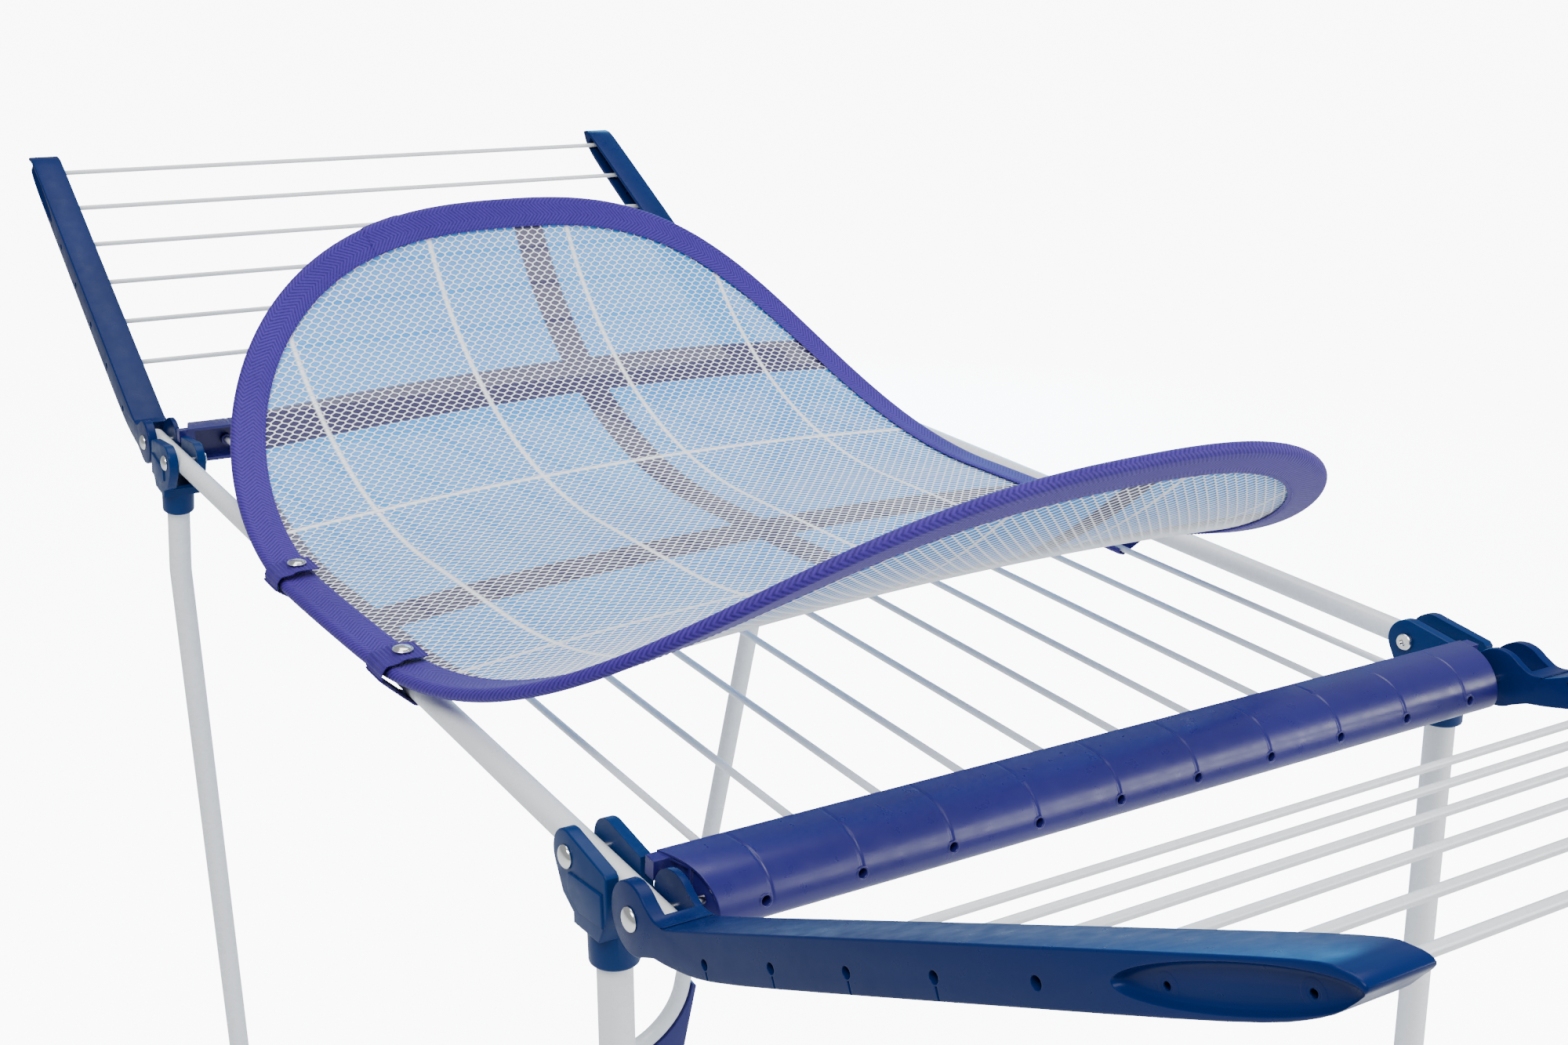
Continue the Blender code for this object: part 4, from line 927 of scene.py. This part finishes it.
def make_net(name, way):
    """One face of the knitted net, above or below the cloth: an open honeycomb of raised strands."""
    net = bmesh.new()
    corners = {}
    floor = (way - 1) * CLOTH_DROP
    half_row = CELL_ROW - CELL_SIDE
    shape = [(half_row, 0), (CELL_SIDE, CELL_ACROSS / 2), (-CELL_SIDE, CELL_ACROSS / 2), (-half_row, 0),
             (-CELL_SIDE, -CELL_ACROSS / 2), (CELL_SIDE, -CELL_ACROSS / 2)]
    rows = int(HOOP_HALF_LENGTH / CELL_ROW) + 1
    columns = int(HOOP_HALF_WIDTH / CELL_ACROSS) + 1
    for row in range(-rows, rows + 1):
        for column in range(-columns, columns + 1):
            u, v = row * CELL_ROW, (column + 0.5 * (row % 2)) * CELL_ACROSS
            if not inside_binding(u, v):
                continue
            ring, hole = [], []
            for du, dv in shape:
                key = (round((u + du) * 1e5), round((v + dv) * 1e5))
                if key not in corners:
                    corners[key] = net.verts.new(bent(Vector((u + du, v + dv)), floor + way * STRAND_RISE))
                ring.append(corners[key])
                hole.append(net.verts.new(bent(Vector((u + du * CELL_OPEN, v + dv * CELL_OPEN)), floor)))
            for i in range(6):
                j = (i + 1) % 6
                net.faces.new((ring[i], ring[j], hole[j], hole[i]))
    bmesh.ops.recalc_face_normals(net, faces=net.faces)
    return finished(name, net, YARN, "frame", "net_cloth", angle=80.0)


def make_cloth():
    """The check cloth between the net's two faces."""
    cloth = bmesh.new()
    layer = cloth.loops.layers.uv.new("metres")
    segments, rings = 200, 30
    edge = [rim_inset(angle, CLOTH_MARGIN) for angle in turns(segments)]
    rows = []
    for ring in range(1, rings + 1):
        flats = [point * ring / rings for point in edge]
        rows.append([(cloth.verts.new(bent(flat, -CLOTH_DROP)), flat) for flat in flats])
    middle = (cloth.verts.new(bent(Vector((0, 0)), -CLOTH_DROP)), Vector((0, 0)))
    for i in range(segments):
        j = (i + 1) % segments
        fans = [(middle, rows[0][i], rows[0][j])]
        fans += [(row[i], outer[i], outer[j], row[j]) for row, outer in zip(rows, rows[1:])]
        for fan in fans:
            face = cloth.faces.new([vert for vert, _ in fan])
            for loop, (_, flat) in zip(face.loops, fan):
                loop[layer].uv = flat
    bmesh.ops.recalc_face_normals(cloth, faces=cloth.faces)
    return finished("check_cloth", cloth, PLAID, "frame", "net_cloth", "net_panel")


# ---- straps and snap caps
def rim_at(x, side):
    """Wire centre where it crosses a plane of constant x, near or far, in the rack's frame."""
    low, high = (pi, 2 * pi) if side < 0 else (pi, 0)
    for _ in range(40):
        middle = (low + high) / 2
        if (bent(rim_point(middle)) - RACK).x < x:
            low = middle
        else:
            high = middle
    return bent(rim_point((low + high) / 2)) - RACK


def strap_line(x, side, anchor, anchor_radius):
    """Middle line of a strap, as (sideways, up), over the binding and under its rod or rail."""
    spots = [rim_at(x + share * STRAP_WIDTH / 2, side) for share in (-1, -0.5, 0, 0.5, 1)]
    outs = [spot.y * side for spot in spots]
    ups = [spot.z for spot in spots]
    wire = Vector(((max(outs) + min(outs)) / 2, (max(ups) + min(ups)) / 2))
    stray = math.hypot(max(outs) - min(outs), max(ups) - min(ups)) / 2
    room = STRAP_ROOM + STRAP_CLOTH / 2
    over, hold = BINDING_OUTER + room + stray, anchor_radius + room
    lift = BINDING_EDGE + STRAP_CLOTH / 2 + STRAP_ROOM + stray + 0.0022
    lip = wire.x - BINDING_WIDTH - 0.001
    path = [Vector((lip, wire.y + lift)), Vector((lip + 0.012, wire.y + lift + 0.0004)),
            Vector((wire.x - 0.003, wire.y + over))]
    path += arc(wire, over, 65, -35, 6)
    path += arc((anchor, 0), hold, -50 if anchor + hold < wire.x else -20, -150, 8)
    return path + [Vector((anchor - hold, 0.0)), Vector((anchor - hold, anchor_radius * 0.5))]


def resampled(path, step):
    """Even points along a 2D path."""
    fine = smooth(path, 10)
    points, travelled, due = [], 0.0, 0.0
    for a, b in zip(fine, fine[1:]):
        length = (b - a).length
        while due <= travelled + length and length > 0:
            points.append(a + (b - a) * (due - travelled) / length)
            due += step
        travelled += length
    return points


def make_strap(name, x, side, anchor, anchor_radius):
    """Ribbed webbing round the binding and the tube or rod under it."""
    line = resampled(strap_line(x, side, anchor, anchor_radius), RIB_PITCH / 6)
    columns = 13
    rows = []
    for i, point in enumerate(line):
        along = direction(line, i)
        rib = RIB_HEIGHT * (0.5 + 0.5 * cos(2 * pi * i / 6))
        reach = Vector((-along.y, along.x)) * (STRAP_CLOTH / 2 - RIB_HEIGHT + rib)
        rows.append([])
        for way in (1, -1):
            for k in range(columns)[::way]:
                across = -1 + 2 * k / (columns - 1)
                spot = point + reach * way * (1 - abs(across) ** 12 * 0.5)
                rows[-1].append(RACK + Vector((x + across * STRAP_WIDTH / 2, side * spot.x, spot.y)))
    mesh_data = measured_grid(rows, False, True)
    mesh_data.verts.ensure_lookup_table()
    for start in (0, (len(rows) - 1) * 2 * columns):
        mesh_data.faces.new([mesh_data.verts[start + k] for k in range(2 * columns)])
    bmesh.ops.recalc_face_normals(mesh_data, faces=mesh_data.faces)
    return stand_in(name, mesh_data, WEBBING, "frame", "purple_webbing", 60.0)


def make_snap(name):
    """A domed press-stud cap with a rolled rim."""
    low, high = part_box(name)
    centre = (low + high) / 2
    radius = (high.x - low.x) / 2
    profile = [(0.0, 0.94), (0.0002, 1.0), (0.0006, 1.0), (0.0009, 0.95), (0.0009, 0.86), (0.0007, 0.82)]
    dome = [(0.0007 + 0.0015 * sin(a), 0.8 * cos(a)) for a in (pi / 2 * k / 10 for k in range(10))]
    rings = [circle(Vector((centre.x, centre.y, low.z + z)), UP, max(0.0002, r * radius), 36, Vector((0, 1, 0)))
             for z, r in profile + dome + [(0.0022, 0.05)]]
    return stand_in(name, loft(bmesh.new(), rings), NICKEL, "frame", "nickel")


def make_straps():
    """Four straps and their snaps."""
    pieces = []
    for label, sign in ENDS:
        near_x = STRAP_MIDDLE_X + sign * STRAP_SPREAD
        far_x = STRAP_MIDDLE_X + STRAP_FAR_SHIFT + sign * STRAP_FAR_SPREAD
        for place, *line in (("near_" + label, near_x, -1, RAIL_Y, RAIL_RADIUS),
                ("far_" + label, far_x, 1, rod_y(ROD_COUNT - 1), ROD_RADIUS)):
            pieces.append(make_strap("strap_" + place, *line))
            pieces.append(make_snap("snap_cap_" + place))
    return pieces


def flat_area():
    """Area of the cloth laid flat."""
    points = [rim_inset(angle, CLOTH_MARGIN) for angle in turns(400)]
    return abs(sum(a.x * b.y - b.x * a.y for a, b in zip(points, points[1:] + points[:1]))) / 2


# ---- studio
WORLD_STRENGTH = 0.46
FLOOR_GLOW = 9.0  # extra light that only the camera sees, for a near-white background
LIGHTS = (("key", (1.2, -1.6, 3.2), (0, 0, 0.7), (2.0, 1.4), 95.0, (1.0, 0.99, 0.97)),
          ("top", (-0.6, 0.4, 3.4), (0, 0, 0.7), (2.0, 2.0), 60.0, (1.0, 1.0, 1.0)),
          ("side", (1.7, 1.4, 1.3), (0.38, 0, 0.73), (1.4, 0.8), 36.0, (1.0, 1.0, 1.0)),
          ("rim", (-2.6, 2.0, 1.3), (0, 0, 0.6), (1.6, 2.0), 60.0, (0.08, 0.5, 1.0)))
CAMERA_PLACE = (0.9197, -0.6081, 0.3987)  # in the rack's frame
CAMERA_VIEW = (-0.82208, 0.45534, -0.34183)
CAMERA_ROLL = 0.02161
CAMERA_LENS = 41.22
CAMERA_SHIFT = (0.11785, 0.01156)


def add_light(name, place, target, size, energy, colour):
    """A soft rectangular light."""
    lamp = bpy.data.lights.new(name, "AREA")
    lamp.shape = "RECTANGLE"
    lamp.size, lamp.size_y = size
    lamp.energy = energy
    lamp.color = colour
    made = linked(name, lamp)
    made.location = place
    made.rotation_euler = (Vector(target) - Vector(place)).to_track_quat("-Z", "Y").to_euler()


def camera_glow(tree):
    """Strength of the light that only the camera sees."""
    return maths(tree, "MULTIPLY", node(tree, "LightPath").outputs["Is Camera Ray"], FLOOR_GLOW)


def make_studio():
    """Pale floor, soft lights and a pale surround."""
    floor_data = bmesh.new()
    bmesh.ops.create_grid(floor_data, x_segments=4, y_segments=4, size=30.0)
    floor = as_object("floor", floor_data)
    made, tree, surface = start_material("pale_floor", 0.85)
    cloud = remapped(tree, noise_of(tree, 3.0), 0.0, 1.0)
    body = blended(tree, cloud, (0.9, 0.905, 0.91), (0.93, 0.93, 0.93))
    tree.links.new(body, surface.inputs["Base Color"])
    glow = node(tree, "Emission", {"Color": (1.0, 1.0, 1.0, 1.0), "Strength": camera_glow(tree)})
    both = node(tree, "AddShader", {0: surface.outputs[0], 1: glow.outputs[0]})
    tree.links.new(both.outputs[0], tree.nodes["Material Output"].inputs["Surface"])
    floor.data.materials.append(made)
    world = bpy.data.worlds.new("studio")
    bpy.context.scene.world = world
    world.use_nodes = True
    tree = world.node_tree
    background = tree.nodes["Background"]
    background.inputs["Color"].default_value = (0.94, 0.97, 1.0, 1.0)
    tree.links.new(maths(tree, "ADD", camera_glow(tree), WORLD_STRENGTH), background.inputs["Strength"])
    for light in LIGHTS:
        add_light(*light)


def make_camera():
    """A camera at the photograph's viewing angle."""
    data = bpy.data.cameras.new("camera")
    data.sensor_width = 36.0
    data.lens = CAMERA_LENS
    data.shift_x, data.shift_y = CAMERA_SHIFT
    data.clip_start, data.clip_end = 0.01, 100.0
    camera = linked("camera", data)
    facing = Vector(CAMERA_VIEW).to_track_quat("-Z", "Y").to_matrix()
    camera.matrix_world = Matrix.Translation(RACK + Vector(CAMERA_PLACE)) @ (
        facing @ Matrix.Rotation(CAMERA_ROLL, 3, "Z")).to_4x4()
    bpy.context.scene.camera = camera


# ---- everything
make_camera()
make_studio()
make_rails()
make_centre_rods()
for beam_prefix, beam_end in ENDS:
    make_crossbeam(beam_prefix, beam_end)
for pin_prefix, _ in ENDS:
    for pin_label, _ in SIDES:
        make_pin("%s_wing_pin_%s" % (pin_prefix, pin_label), False)
        make_pin("%s_leg_pin_%s" % (pin_prefix, pin_label), True)
make_wings()
make_legs()
hoop_mesh = frame["nodes"]["hoop_wire"].data
hoop_mesh.materials.clear()
hoop_mesh.materials.append(STEEL)
on_the_cloth = make_binding() + make_straps() + [make_net("net_upper_face", 1), make_net("net_lower_face", -1)]
check_cloth = make_cloth()
flat_area()
